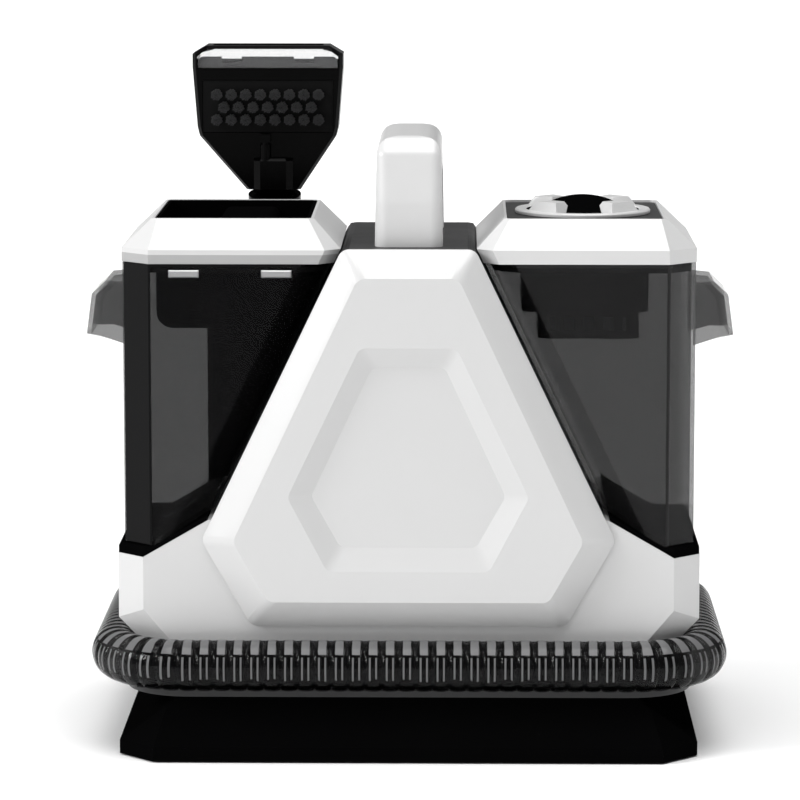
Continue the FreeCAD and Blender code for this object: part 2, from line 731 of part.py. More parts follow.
def lid_block(wall, low, top):
    """Lid form with its walls moved in by wall, from height low to height top."""
    inner_low = flank_x(LID_LOW) + 1.0 + wall
    inner_bend = flank_x(LID_BEND) + 1.0 + wall
    outer = 167.4 - wall
    front = -98.0 + wall
    back = 52.0 - wall
    rise = (top - LID_BEND) / (LID_TOP - LID_BEND)
    inner_top = inner_bend + (55.5 + wall - inner_bend) * rise
    outer_top = outer + (149.5 - wall - outer) * rise
    front_top = front + (-82.5 + wall - front) * rise
    back_top = back + (36.0 - wall - back) * rise
    return solid_between([octagon(inner_low, outer, front, back, 16.7, low, 9.0),
                          octagon(inner_bend, outer, front, back, 16.7, LID_BEND, 9.0),
                          octagon(inner_top, outer_top, front_top, back_top, 3.0, top, 3.0)])


def lid_shell():
    """White bevelled lid, hollow below, with a large round-cornered opening on top."""
    shell = lid_block(0.0, LID_LOW, LID_TOP)
    shell = shell.cut(lid_block(LID_THICK, LID_LOW - 0.01, LID_TOP - LID_THICK))
    x0, x1, y0, y1 = LID_OPEN
    return shell.cut(round_box(x0, x1, y0, y1, 300.0, 320.0, LID_OPEN_R))


def clean_tank_lid():
    return mirrored(lid_shell())


def dirty_tank_lid():
    return lid_shell()


def lid_gasket():
    """Rubber seal that plugs the tank mouth under the lid."""
    top = TANK_TOP + RIM_GAP + 1.2
    outer = tank_block(WALL + 0.5, TANK_TOP + 10.0).common(box(0, 200, -120, 80, 283.0, TANK_TOP))
    flange = lid_block(LID_THICK + 0.8, LID_LOW, LID_TOP - LID_THICK)
    flange = flange.common(box(0, 200, -120, 80, TANK_TOP + RIM_GAP, top))
    inner = box(40.0, 153.0, -83.5, 36.0, 280.0, 300.0)
    slant = xz_prism([(0.0, 270.0), (flank_x(270.0) + 9.5, 270.0), (flank_x(300.0) + 9.5, 300.0),
                      (0.0, 300.0)], -90.0, 40.0)
    link = tank_block(WALL + 1.6, TANK_TOP + 10.0)
    link = link.common(box(0, 200, -120, 80, TANK_TOP - 0.1, TANK_TOP + RIM_GAP + 0.1))
    return joined([outer, link, flange]).cut(inner.cut(slant))


def clean_lid_gasket():
    return mirrored(lid_gasket())


def dirty_lid_gasket():
    return lid_gasket()


def opening_fill(z0, z1):
    """What fits the opening of a lid, from height z0 to z1."""
    x0, x1, y0, y1 = LID_OPEN
    return round_box(x0 + FIT, x1 - FIT, y0 + FIT, y1 - FIT, z0, z1, LID_OPEN_R - FIT)


def pocket_outline(y, wall, low):
    """Outline of the grab pocket; its inner side leans with the tower."""
    lean_0 = flank_x(0.0) + TANK_FLANK_GAP + WALL + 4.6 + wall
    out_x = POCKET_OUT_X - wall
    top = POCKET_TOP
    lean_top_z = (lean_0 - POCKET_IN_X - wall) / FLANK
    points = [vec(-out_x, y, top), vec(-out_x, y, low), vec(-(lean_0 - FLANK * low), y, low),
              vec(-(POCKET_IN_X + wall), y, lean_top_z), vec(-(POCKET_IN_X + wall), y, top)]
    return round_corners(points, {1: 10.0 - wall, 2: 10.0 - wall})


def lid_pocket():
    """Open grab pocket let into the clean tank's lid."""
    y0, y1 = POCKET_Y
    wall = POCKET_WALL
    outer = Part.Face(pocket_outline(y0, 0.0, POCKET_LOW)).extrude(vec(0, y1 - y0, 0))
    inner = Part.Face(pocket_outline(y0 + wall, wall, POCKET_LOW + wall))
    inner = inner.extrude(vec(0, y1 - y0 - 2 * wall, 0))
    lift = inner.copy()
    lift.translate(vec(0, 0, 5.0))
    plan = mirrored(opening_fill(POCKET_LOW - 1.0, POCKET_TOP + 1.0))
    return outer.cut(inner.fuse(lift)).common(plan)


def lid_grab_bar():
    """Bar across the pocket that the clean tank is carried by."""
    y0, y1 = POCKET_Y
    bar = box(-114.0, -80.0, y0 + POCKET_WALL, y1 - POCKET_WALL, 297.0, 309.5)
    long_edges = [edge for edge in bar.Edges if edge.BoundBox.YLength > 50]
    return bar.makeFillet(5.0, long_edges)


def lid_panel():
    """Dark panel that fills the opening of the dirty tank's lid."""
    x, y = KNOB_AT
    return opening_fill(PANEL_LOW, PANEL_TOP).cut(cylinder(SHAFT_HOLE_R, vec(x, y, 300.0), 20.0))


def knob_ring():
    """White turning ring with four finger lugs."""
    x, y = KNOB_AT
    ring_part = ring(RING_OUT, RING_IN, vec(x, y, PANEL_TOP + KNOB_GAP), RING_HIGH)
    top_edges = [edge for edge in ring_part.Edges if edge.BoundBox.ZMin > PANEL_TOP + 2.0]
    ring_part = ring_part.makeChamfer(0.8, top_edges)
    lugs = [lug_shape(x, y, 45.0 + 90.0 * i) for i in range(4)]
    return joined([ring_part] + lugs)


def lug_shape(x, y, angle):
    """Faceted finger lug standing on the ring, pointing at the middle."""
    foot = PANEL_TOP + 0.8
    low = closed_wire([vec(17.0, -9.5, foot), vec(LUG_OUT, -12.5, foot),
                       vec(LUG_OUT, 12.5, foot), vec(17.0, 9.5, foot)])
    high = closed_wire([vec(20.5, -4.5, LUG_TOP), vec(LUG_OUT - 3.9, -8.0, LUG_TOP),
                        vec(LUG_OUT - 3.9, 8.0, LUG_TOP), vec(20.5, 4.5, LUG_TOP)])
    lug = solid_between([low, high])
    lug.rotate(vec(0, 0, 0), Z_AXIS, angle)
    lug.translate(vec(x, y, 0))
    return lug


def knob_dome():
    """Dark disc with a four-pointed crown between the lugs, and the shaft below."""
    x, y = KNOB_AT
    disc = cylinder(RING_IN - KNOB_GAP, vec(x, y, PANEL_TOP + KNOB_GAP), 1.8)
    round_top = Part.makeSphere(DOME_R, vec(x, y, DOME_MIDDLE))
    crown = round_top.common(cylinder(29.0, vec(x, y, PANEL_TOP + 1.0), 20.0))
    shaft = cylinder(SHAFT_R, vec(x, y, 300.0), PANEL_TOP - 299.0)
    body = joined([disc, crown, shaft])
    for i in range(4):
        lug = lug_shape(x, y, 45.0 + 90.0 * i)
        body = body.cut(lug.makeOffsetShape(KNOB_GAP, 0.01, join=2))
    return body


def moved_in(plan, wall):
    """The box x0, x1, y0, y1 with each side moved in by wall."""
    x0, x1, y0, y1 = plan
    return x0 + wall, x1 - wall, y0 + wall, y1 - wall


def separator_housing():
    """Air and water separator hanging under the dirty tank's lid."""
    outer = round_box(*SEPARATOR_PLAN, SEPARATOR_LOW, SEPARATOR_TOP, 6.0)
    plan = moved_in(SEPARATOR_PLAN, SEPARATOR_WALL)
    inner = round_box(*plan, SEPARATOR_LOW - 0.1, SEPARATOR_TOP - SEPARATOR_WALL, 4.0)
    shell = outer.cut(inner)
    x, y = KNOB_AT
    shell = shell.cut(cylinder(SHAFT_HOLE_R, vec(x, y, 300.0), 20.0))
    window = box(60.0, 76.0, -40.0, -10.0, 276.0, 292.0)
    return shell.cut(window)


def float_cage():
    """Slotted cage that guides the shut-off float."""
    low = SEPARATOR_LOW - CAGE_DEEP
    outer = round_box(*CAGE_PLAN, low, SEPARATOR_LOW - 0.1, 6.0)
    inner = round_box(*moved_in(CAGE_PLAN, 2.0), low + 2.0, SEPARATOR_LOW, 4.0)
    cage = outer.cut(inner)
    for i in range(5):
        x = 82.6 + 11.4 * i
        cage = cage.cut(box(x - 3.2, x + 3.2, -70.0, 20.0, low + 4.5, low + 13.0))
    return cage


def shut_off_float():
    """Hollow float that rises and closes the air path when the tank is full."""
    low = SEPARATOR_LOW - CAGE_DEEP + 2.6
    block = round_box(*FLOAT_PLAN, low, low + FLOAT_HIGH, 8.0)
    core = round_box(*moved_in(FLOAT_PLAN, 2.0), low + 2.0, low + FLOAT_HIGH - 2.0, 6.0)
    return block.cut(core)


# ---------------------------------------------------------------- clean water outlet

def valve_body():
    """Spout under the clean tank."""
    x, y = VALVE_AT
    spout = ring(10.5, 5.0, vec(x, y, 106.0), 40.0)
    solid_tank = mirrored(tank_block(0.0, TANK_TOP))
    return spout.cut(solid_tank).Solids[0]


def valve_plunger():
    """Spring-loaded stem that the receiver pushes up to let the water out."""
    x, y = VALVE_AT
    stem = cylinder(2.2, vec(x, y, 104.2), 12.0)
    head = cylinder(4.6, vec(x, y, 116.2), 2.5)
    return stem.fuse(head)


def clean_receiver():
    """Cup in the body that takes the spout of the clean tank."""
    x, y = VALVE_AT
    wall = ring(15.0, 12.0, vec(x, y, 98.0), 15.5)
    floor = ring(12.0, 3.2, vec(x, y, 98.0), 2.0)
    nipple = ring(4.6, 3.2, vec(x, y, 92.0), 6.0)
    return joined([wall, floor, nipple])


def water_line():
    """Clear tube from the receiver to the pump."""
    x, y = VALVE_AT
    points = [vec(x, y, 99.5), vec(x, y, 80.0), vec(x, y + 20.0, 65.0), vec(x + 8.0, 30.0, 62.0),
              vec(-120.1, 30.0, 62.0)]
    path, radii = cord_path(points)
    tube = swept_rod(path, 3.0, points).cut(swept_rod(path, 2.0, points))
    print("water line radii", radii)
    return tube


# ---------------------------------------------------------------- drive and controls

def motor_cylinder(outer, inner, z0, z1):
    x, y = MOTOR_AT
    return ring(outer, inner, vec(x, y, z0), z1 - z0)


def rubber_mounts():
    """Rubber feet under the fan housing and the pump."""
    mounts = []
    for i in range(3):
        angle = math.radians(90 + 120 * i)
        x = MOTOR_AT[0] + 40.0 * math.cos(angle)
        y = MOTOR_AT[1] + 40.0 * math.sin(angle)
        mounts.append(cylinder(7.0, vec(x, y, LEDGE_TOP), 16.0))
    for x in (-112.0, -78.0):
        for y in (16.0, 44.0):
            mounts.append(cylinder(5.0, vec(x, y, LEDGE_TOP), 6.0))
    return Part.makeCompound(mounts)


def fan_housing():
    walls = motor_cylinder(52.0, 50.0, 56.0, 84.0)
    floor = motor_cylinder(50.0, 6.0, 56.0, 58.0)
    roof = motor_cylinder(50.0, 12.0, 82.0, 84.0)
    outlet = box(20.0, 34.0, -80.0, -60.0, 62.0, 78.0)
    return joined([walls, floor, roof]).cut(outlet)


def fan_impeller():
    """Suction fan wheel: a disc with curved-back blades."""
    x, y = MOTOR_AT
    disc = motor_cylinder(46.0, 3.0, 62.0, 63.5)
    hub = motor_cylinder(8.0, 3.0, 63.5, 78.0)
    blades = []
    for i in range(9):
        blade = box(7.0, 44.0, -0.8, 0.8, 63.5, 76.0)
        blade.rotate(vec(7.0, 0, 0), Z_AXIS, 22.0)
        blade.rotate(vec(0, 0, 0), Z_AXIS, 40.0 * i)
        blade.translate(vec(x, y, 0))
        blades.append(blade)
    wheel = joined([disc, hub] + blades)
    return wheel.common(motor_cylinder(46.0, 3.0, 62.0, 78.0))


def fan_shaft():
    x, y = MOTOR_AT
    return cylinder(3.0, vec(x, y, 60.0), 93.0)


def motor_can():
    """Suction motor: a vented can on top of the fan housing."""
    walls = motor_cylinder(42.0, 40.0, 84.0, 150.0)
    floor = motor_cylinder(40.0, 3.4, 84.0, 86.0)
    roof = motor_cylinder(40.0, 3.4, 148.0, 150.0)
    coils = motor_cylinder(38.0, 25.0, 86.0, 136.0)
    can = joined([walls, floor, roof, coils])
    x, y = MOTOR_AT
    for i in range(6):
        port = box(30.0, 46.0, -6.0, 6.0, 139.0, 146.0)
        port.rotate(vec(0, 0, 0), Z_AXIS, 60.0 * i)
        port.translate(vec(x, y, 0))
        can = can.cut(port)
    return can


def motor_rotor():
    return motor_cylinder(23.0, 3.0, 92.0, 134.0)


def pump_body():
    """Water pump with its two hose stubs."""
    block = round_box(-120.0, -70.0, 10.0, 50.0, 46.0, 74.0, 5.0)
    head = cylinder(14.0, vec(-95.0, 30.0, 74.0), 10.0)
    outlet = ring(4.0, 2.2, vec(-70.0, 30.0, 62.0), 10.0, X_AXIS)
    return joined([block, head, outlet])


def control_board():
    """Circuit board on its four posts."""
    board = box(66.0, 134.0, -34.0, 20.0, 52.0, 53.6)
    posts = [cylinder(2.5, vec(x, y, LEDGE_TOP), 12.0) for x in (70.0, 130.0) for y in (-30.0, 16.0)]
    chips = [box(80.0, 94.0, -20.0, -6.0, 53.6, 58.0), box(102.0, 122.0, -24.0, -10.0, 53.6, 66.0),
             cylinder(6.0, vec(88.0, 6.0, 53.6), 18.0), box(106.0, 126.0, 0.0, 10.0, 53.6, 62.0)]
    return joined([board] + posts + chips)


def power_switch():
    x, y = BUTTON_AT
    case = box(x - 11.0, x + 11.0, y - 9.0, y + 9.0, 78.0, 98.0)
    stem = cylinder(3.0, vec(x, y, 98.0), 3.5)
    frame = [box(x + side - 2.0, x + side + 2.0, y - 9.0, y + 9.0, 78.0, 109.4) for side in (-17.0, 17.0)]
    bridges = [box(x - 15.0, x - 11.0, y - 9.0, y + 9.0, 78.0, 82.0),
               box(x + 11.0, x + 15.0, y - 9.0, y + 9.0, 78.0, 82.0)]
    return joined([case, stem] + frame + bridges)


def power_button():
    """Push button on the shelf behind the tanks."""
    x, y = BUTTON_AT
    cap = cylinder(11.0, vec(x, y, 106.0), 9.5)
    flange = cylinder(13.0, vec(x, y, 106.0), 1.6)
    button = cap.fuse(flange)
    top_edges = [edge for edge in button.Edges if edge.BoundBox.ZMin > 115.4]
    return button.makeFillet(1.2, top_edges)


def cord_inlet():
    """Gland where the mains lead enters the back of the body."""
    body = cylinder(7.0, vec(104.0, 94.0, 90.0), 6.1, Y_AXIS)
    flange = cylinder(10.0, vec(104.0, 100.1, 90.0), 2.6, Y_AXIS)
    collar = Part.makeCone(8.0, 6.2, 8.0, vec(104.0, 102.7, 90.0), Y_AXIS)
    bore = cylinder(3.8, vec(104.0, 90.0, 90.0), 30.0, Y_AXIS)
    return joined([body, flange, collar]).cut(bore)


def suction_duct():
    """Duct that carries the dirty water from the hose outlet up to the dirty tank."""
    radius = 10.5
    bore = 8.5
    y = 44.5
    z = 262.0
    corners = (vec(ELBOW_X, y, HOSE_Z), vec(ELBOW_X, y, z))
    outer = []
    inner = []
    for size, shapes in ((radius, outer), (bore, inner)):
        shapes.append(cylinder(size, corners[0], 89.8 - y, Y_AXIS))
        shapes.append(cylinder(size, corners[0], z - HOSE_Z))
        shapes.append(cylinder(size, corners[1], 48.0, X_AXIS))
        shapes.extend(Part.makeSphere(size, corner) for corner in corners)
    return joined(outer).cut(joined(inner))


# ---------------------------------------------------------------- cleaning tool

def tool_dock():
    """Holder behind the clean tank that the tool stands in."""
    panel = round_box_upright(-127.0, -45.0, SHELF_Y + 6.4, SHELF_Y + 8.9, SHELF_TOP + 0.1, 275.0, 6.0)
    fork = box(-113.0, -64.0, SHELF_Y + 8.9, 103.0, 225.0, 236.0)
    slot = box(TOOL_X - 17.4, TOOL_X + 17.4, 74.0, 110.0, 220.0, 240.0)
    foot = box(-120.0, -52.0, SHELF_Y + 0.2, SHELF_Y + 6.4, SHELF_TOP + 0.1, 122.0)
    foot = foot.cut(box(-116.5, -40.0, 50.0, 61.3, 100.0, 140.0))
    return joined([panel, fork, foot]).cut(slot)


def round_box_upright(x0, x1, y0, y1, z0, z1, radius):
    corners = [vec(x0, y0, z0), vec(x1, y0, z0), vec(x1, y0, z1), vec(x0, y0, z1)]
    return Part.Face(round_wire(corners, radius)).extrude(vec(0, y1 - y0, 0))


def head_outline(inset):
    """Front outline of the tool's head: neck, flare, straight sides, clipped shoulders."""
    flare = ((16.6, NECK_Z, TOOL_X), (42.0, 350.0, HEAD_X), (43.4, 355.5, HEAD_X),
             (46.3, 392.5, HEAD_X), (46.3, 400.3, HEAD_X), (37.8, HEAD_TOP, HEAD_X))
    left = [(middle - half + inset, z) for half, z, middle in flare]
    right = [(middle + half - inset, z) for half, z, middle in reversed(flare)]
    outline = left + right
    return [(x, min(z, HEAD_TOP - inset)) for x, z in outline]


def slot_outline(inset):
    """Outline of the see-through slot under the lip of the head."""
    sides = ((43.3, SLOT_LOW), (43.3, 398.8), (37.0, SLOT_TOP))
    left = [(HEAD_X - half + inset, z) for half, z in sides]
    right = [(HEAD_X + half - inset, z) for half, z in reversed(sides)]
    return [(x, min(max(z, SLOT_LOW + inset), SLOT_TOP - inset)) for x, z in left + right]


def head_section(y, inset):
    return closed_wire([vec(x, y, z) for x, z in head_outline(inset)])


def nozzle_shell():
    """Flared suction head with a see-through slot near its lip."""
    outer = solid_between([head_section(SOLE_Y + 3.0, 0.0), head_section(HEAD_BACK - 6.0, 0.0),
                           head_section(HEAD_BACK, 5.0)])
    front = solid_between([head_section(SOLE_Y, 2.0), head_section(SOLE_Y + 3.0, 0.0)])
    hollow = xz_prism(head_outline(3.0), SOLE_Y + 6.0, HEAD_BACK - 8.0)
    mouth = box(HEAD_X - 34.0, HEAD_X + 34.0, SOLE_Y + 6.0, HEAD_BACK - 8.0, 395.0, 410.0)
    slot = xz_prism(slot_outline(0.0), SOLE_Y - 1.0, SOLE_Y + 7.0)
    back_low = box(-200.0, 0.0, SOLE_Y, HEAD_BACK + 2.0, BACK_SLOT_LOW, 410.0)
    view = xz_prism(slot_outline(0.0), HEAD_BACK - 9.0, HEAD_BACK + 1.0).common(back_low)
    panel = box(HEAD_X - PANEL_HALF_X, HEAD_X + PANEL_HALF_X, SOLE_Y - 1.0, SOLE_Y + 3.0, *PANEL_Z)
    bore = cylinder(11.0, vec(TOOL_X, NECK_Y, 310.0), 20.0)
    head = outer.fuse(front).cut(hollow)
    for space in (mouth, slot, view, panel, bore):
        head = head.cut(space)
    return head


def nozzle_window():
    """Clear strip set in the slot of the head."""
    strip = xz_prism(slot_outline(0.2), SOLE_Y + 1.0, SOLE_Y + 2.5)
    ribs = [box(HEAD_X + x - 0.4, HEAD_X + x + 0.4, SOLE_Y + 2.4, SOLE_Y + 6.0, 398.8, 403.1)
            for x in (-37.0, 0.0, 37.0)]
    front = joined([strip] + ribs)
    back = xz_prism(slot_outline(0.2), HEAD_BACK - 7.0, HEAD_BACK - 5.5)
    back = back.common(box(-200.0, 0.0, SOLE_Y, HEAD_BACK, BACK_SLOT_LOW + 0.3, 410.0))
    return Part.makeCompound([front, back])


def nozzle_lip():
    """Dark bar behind the lower part of the clear strip, with two notches."""
    bar = box(HEAD_X - 42.6, HEAD_X + 42.6, SOLE_Y + 2.7, SOLE_Y + 4.7, 391.7, 398.6)
    upright = [edge for edge in bar.Edges
               if edge.BoundBox.YLength > 1.0 and edge.BoundBox.ZMin > 398.5]
    bar = bar.makeFillet(3.0, upright)
    for x in (-22.2, 22.2):
        bar = bar.cut(box(HEAD_X + x - 6.2, HEAD_X + x + 6.2, SOLE_Y, SOLE_Y + 9.0, 394.6, 399.0))
    return bar


def brush_block():
    """Plate that holds the brush tufts."""
    half = PANEL_HALF_X - 0.3
    return box(HEAD_X - half, HEAD_X + half, SOLE_Y + 0.6, SOLE_Y + 2.9, PANEL_Z[0] + 0.3, PANEL_Z[1] - 0.3)


def tuft_places():
    """Staggered rows of eight, seven and eight tufts."""
    pitch = 8.94
    row_pitch = 7.7
    middle_z = 367.8
    places = []
    for row, count in ((1, 8), (0, 7), (-1, 8)):
        for i in range(count):
            places.append((HEAD_X + (i - (count - 1) / 2) * pitch, middle_z + row * row_pitch))
    return places


def brush_tufts():
    length = SOLE_Y + 0.6 - TUFT_TIP
    return Part.makeCompound([cylinder(3.75, vec(x, TUFT_TIP, z), length, Y_AXIS)
                              for x, z in tuft_places()])


def spray_tip():
    """Spray pipe up the front of the neck with its nozzle under the brush."""
    x = HEAD_X - 1.4
    front = SOLE_Y - 6.5
    pipe = cylinder(3.2, vec(x, SOLE_Y - 3.4, 330.0), 15.0)
    tip = box(x - 3.0, x + 3.0, SOLE_Y - 6.0, SOLE_Y - 0.1, 346.5, 351.4)
    stem = cylinder(2.2, vec(x, SOLE_Y - 3.4, 344.0), 4.0)
    body_points = [(TOOL_X - 12.0, SOLE_Y - 0.1), (TOOL_X - 12.0, front + 4.0), (TOOL_X - 8.0, front),
                   (TOOL_X + 8.0, front), (TOOL_X + 12.0, front + 4.0), (TOOL_X + 12.0, SOLE_Y - 0.1)]
    valve = xy_prism(body_points, NECK_Z + 0.5, 336.5)
    shoulder = [edge for edge in valve.Edges
                if edge.BoundBox.ZMin > 336.0 and edge.BoundBox.YMax < SOLE_Y - 1.0]
    valve = valve.makeChamfer(1.5, shoulder)
    return joined([pipe, stem, tip, valve])


def lean_tool(shape):
    """Place a piece drawn upright on the hose cuff into the parked, leaning position."""
    length = (NECK_Z - CUFF_HIGH) / math.cos(TOOL_LEAN)
    foot = vec(TOOL_X, NECK_Y + length * math.sin(TOOL_LEAN), CUFF_HIGH)
    placed = shape.copy()
    placed.rotate(vec(0, 0, 0), X_AXIS, math.degrees(TOOL_LEAN))
    placed.translate(foot)
    return placed


def tool_handle():
    """Tubular hand grip from the hose cuff to the neck of the head."""
    length = (NECK_Z - CUFF_HIGH) / math.cos(TOOL_LEAN) - 4.0
    barrel = Part.makeCone(14.4, 16.3, length)
    collar = cylinder(16.6, vec(0, 0, length - 22.0), 14.0)
    bore = cylinder(11.2, vec(0, 0, -1), length + 2)
    ears = [box(side - 1.2, side + 1.2, -22.5, -11.8, 80.0, 92.0) for side in (-10.0, 10.0)]
    grip = joined([barrel, collar] + ears).cut(bore)
    grip = grip.cut(cylinder(1.7, vec(-12.0, -19.5, 87.0), 24.0, X_AXIS))
    return lean_tool(grip)


def trigger():
    """Spray lever on two stub axles between the ears of the grip."""
    profile = [vec(-8.0, -17.0, 91.0), vec(-8.0, -22.5, 91.0), vec(-8.0, -31.5, 52.0),
               vec(-8.0, -27.0, 49.0), vec(-8.0, -18.0, 80.0)]
    lever = Part.Face(round_corners(profile, {1: 2.0, 2: 1.5, 3: 1.5})).extrude(vec(16.0, 0, 0))
    axle = cylinder(1.5, vec(-11.0, -19.5, 87.0), 22.0, X_AXIS)
    return lean_tool(lever.fuse(axle))


def hose_cuff():
    """Rubber cuff and ball joint between the hose and the tool."""
    y = HOSE_Y
    sleeve = cylinder(16.4, vec(TOOL_X, y, CUFF_LOW), 14.0)
    ball = Part.makeSphere(9.6, vec(TOOL_X, y, CUFF_HIGH))
    stem = cylinder(7.5, vec(TOOL_X, y, CUFF_LOW + 14.0), 6.0)
    edges = [edge for edge in sleeve.Edges if edge.BoundBox.ZLength < 0.1]
    return joined([sleeve.makeFillet(2.0, edges), stem, ball])


NODES = (
    base_tray, bottom_plate, rubber_feet, bottom_screws, hose_drum, hose_elbow, hose, lower_body,
    tower_housing, front_cover, rear_cover, rear_screws, exhaust_filter, carry_handle, handle_screws,
    clean_tank_seat, dirty_tank_seat, clean_tank_shell, dirty_tank_shell, clean_tank_grip,
    dirty_tank_grip, lid_snap_tabs, clean_tank_lid, dirty_tank_lid, clean_lid_gasket,
    dirty_lid_gasket, lid_pocket, lid_grab_bar, lid_panel, knob_ring, knob_dome, separator_housing,
    float_cage, shut_off_float, valve_body, valve_plunger, clean_receiver, water_line, rubber_mounts,
    fan_housing, fan_impeller, fan_shaft, motor_can, motor_rotor, pump_body, control_board,
    power_switch, power_button, cord_inlet, suction_duct, tool_dock, nozzle_shell, nozzle_window,
    nozzle_lip, brush_block, brush_tufts, spray_tip, tool_handle, trigger, hose_cuff)


def main():
    os.makedirs("parts", exist_ok=True)
    for make in NODES:
        shape = make()
        if not shape.isValid():
            print("invalid shape:", make.__name__)
        shape.exportStep("parts/" + make.__name__ + ".step")


main()
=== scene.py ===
"""Builds the looks of a twin-tank spot cleaner round its CAD frame: finishes, ribbed hose,
brush bristles, moulded details, light and camera. All sizes are in metres."""
import math
import random

import bpy
from mathutils import Matrix, Vector


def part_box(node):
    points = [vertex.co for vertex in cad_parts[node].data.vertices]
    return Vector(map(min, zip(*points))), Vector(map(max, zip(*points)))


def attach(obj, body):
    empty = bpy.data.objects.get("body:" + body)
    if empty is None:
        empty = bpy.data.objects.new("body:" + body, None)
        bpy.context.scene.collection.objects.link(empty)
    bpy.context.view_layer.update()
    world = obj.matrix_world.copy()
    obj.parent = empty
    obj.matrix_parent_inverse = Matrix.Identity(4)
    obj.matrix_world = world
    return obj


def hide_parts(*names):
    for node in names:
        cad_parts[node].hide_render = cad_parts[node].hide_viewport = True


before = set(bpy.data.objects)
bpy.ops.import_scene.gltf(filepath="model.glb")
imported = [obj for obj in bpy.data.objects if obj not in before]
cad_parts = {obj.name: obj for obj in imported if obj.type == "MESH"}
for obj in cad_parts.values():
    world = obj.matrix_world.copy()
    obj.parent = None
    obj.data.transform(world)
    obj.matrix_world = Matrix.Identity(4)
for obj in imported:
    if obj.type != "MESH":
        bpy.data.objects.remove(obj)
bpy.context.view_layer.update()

bl_info = {
    "name": "Spot Cleaner Looks",
    "version": (1, 0, 0),
    "blender": (4, 5, 0),
    "location": "3D View > Sidebar > Spot Cleaner",
    "description": "Finishes and soft parts for a twin-tank spot cleaner",
    "category": "Object",
}

MM = 0.001


# ---------------------------------------------------------------- shader writing

class Signal:
    """A number socket that can be used in Python expressions."""

    def __init__(self, finish, socket):
        self.finish = finish
        self.socket = socket

    def _math(self, operation, first, second):
        node = self.finish.add("ShaderNodeMath", {"operation": operation}, {0: first, 1: second})
        return Signal(self.finish, node.outputs[0])

    def __add__(self, other):
        return self._math("ADD", self, other)

    def __radd__(self, other):
        return self._math("ADD", other, self)

    def __sub__(self, other):
        return self._math("SUBTRACT", self, other)

    def __rsub__(self, other):
        return self._math("SUBTRACT", other, self)

    def __mul__(self, other):
        return self._math("MULTIPLY", self, other)

    def __rmul__(self, other):
        return self._math("MULTIPLY", other, self)

    def __gt__(self, other):
        return self._math("GREATER_THAN", self, other)

    def __lt__(self, other):
        return self._math("LESS_THAN", self, other)

    def sine(self):
        return self._math("SINE", self, 0.0)

    def size(self):
        return self._math("ABSOLUTE", self, 0.0)


class Finish:
    """One procedural material, written node by node."""

    def __init__(self, name):
        self.material = bpy.data.materials.new(name)
        self.material.use_nodes = True
        self.tree = self.material.node_tree
        self.tree.nodes.clear()
        self.output = self.add("ShaderNodeOutputMaterial")
        self.shader = self.add("ShaderNodeBsdfPrincipled")
        self.tree.links.new(self.shader.outputs[0], self.output.inputs["Surface"])
        self.place = self.add("ShaderNodeTexCoord").outputs["Object"]

    def add(self, kind, settings=None, inputs=None):
        """A node of this type, with its settings and then the values or links of its sockets."""
        node = self.tree.nodes.new(kind)
        for key, value in (settings or {}).items():
            setattr(node, key, value)
        for key, value in (inputs or {}).items():
            self.feed(node.inputs[key], value)
        return node

    def feed(self, socket, value):
        """Links a signal or a socket into this socket, or sets its value."""
        if isinstance(value, Signal):
            value = value.socket
        if isinstance(value, bpy.types.NodeSocket):
            self.tree.links.new(value, socket)
        else:
            socket.default_value = value

    def set(self, **values):
        """Sets sockets of the shader by name, with _ for a space."""
        for key, value in values.items():
            self.feed(self.shader.inputs[key.replace("_", " ")], value)

    def noise(self, scale, detail=2.0, stretch=None):
        """Soft cloud pattern, squeezed along the axes by stretch."""
        place = self.place
        if stretch is not None:
            place = self.add("ShaderNodeVectorMath", {"operation": "MULTIPLY"},
                             {0: place, 1: stretch}).outputs[0]
        node = self.add("ShaderNodeTexNoise", None,
                        {"Vector": place, "Scale": scale, "Detail": detail})
        return Signal(self, node.outputs["Fac"])

    def cells(self, scale):
        """Distance to the nearest cell's middle."""
        node = self.add("ShaderNodeTexVoronoi", None, {"Vector": self.place, "Scale": scale})
        return Signal(self, node.outputs["Distance"])

    def axis(self, index):
        """Place along X, Y or Z, in metres."""
        node = self.add("ShaderNodeSeparateXYZ", None, {0: self.place})
        return Signal(self, node.outputs[index])

    def reading(self, name):
        """A value that the mesh stores at its points."""
        node = self.add("ShaderNodeAttribute", {"attribute_name": name})
        return Signal(self, node.outputs["Fac"])

    def mix(self, share, colour_a, colour_b):
        """Colour between two others."""
        node = self.add("ShaderNodeMix", {"data_type": "RGBA"})
        self.feed(node.inputs[0], share)
        self.feed(node.inputs[6], colour_a)
        self.feed(node.inputs[7], colour_b)
        return node.outputs[2]

    def bump(self, height, strength, distance):
        """Lets a pattern stand out of the surface."""
        node = self.add("ShaderNodeBump", None,
                        {"Height": height, "Strength": strength, "Distance": distance})
        self.set(Normal=node.outputs[0])


def shade_of(colour, factor):
    return (colour[0] * factor, colour[1] * factor, colour[2] * factor, 1.0)


def moulded(name, colour, rough, rough_span, grain=0.0, coat=0.0, drift=0.04, specular=0.5):
    """Injection-moulded plastic: slight colour drift, uneven gloss and a fine grain."""
    finish = Finish(name)
    clouds = finish.noise(14.0, 3.0)
    smears = finish.noise(55.0, 4.0, (1.0, 1.0, 0.35))
    finish.set(Base_Color=finish.mix(clouds, shade_of(colour, 1 - drift), shade_of(colour, 1 + drift)),
               Roughness=rough + (smears - 0.5) * rough_span,
               Coat_Weight=coat, Coat_Roughness=0.06, Specular_IOR_Level=specular)
    if grain > 0:
        finish.bump(finish.noise(1900.0, 2.0), grain, 0.00012)
    else:
        finish.bump(finish.noise(26.0, 1.0), 0.02, 0.0006)
    return finish.material


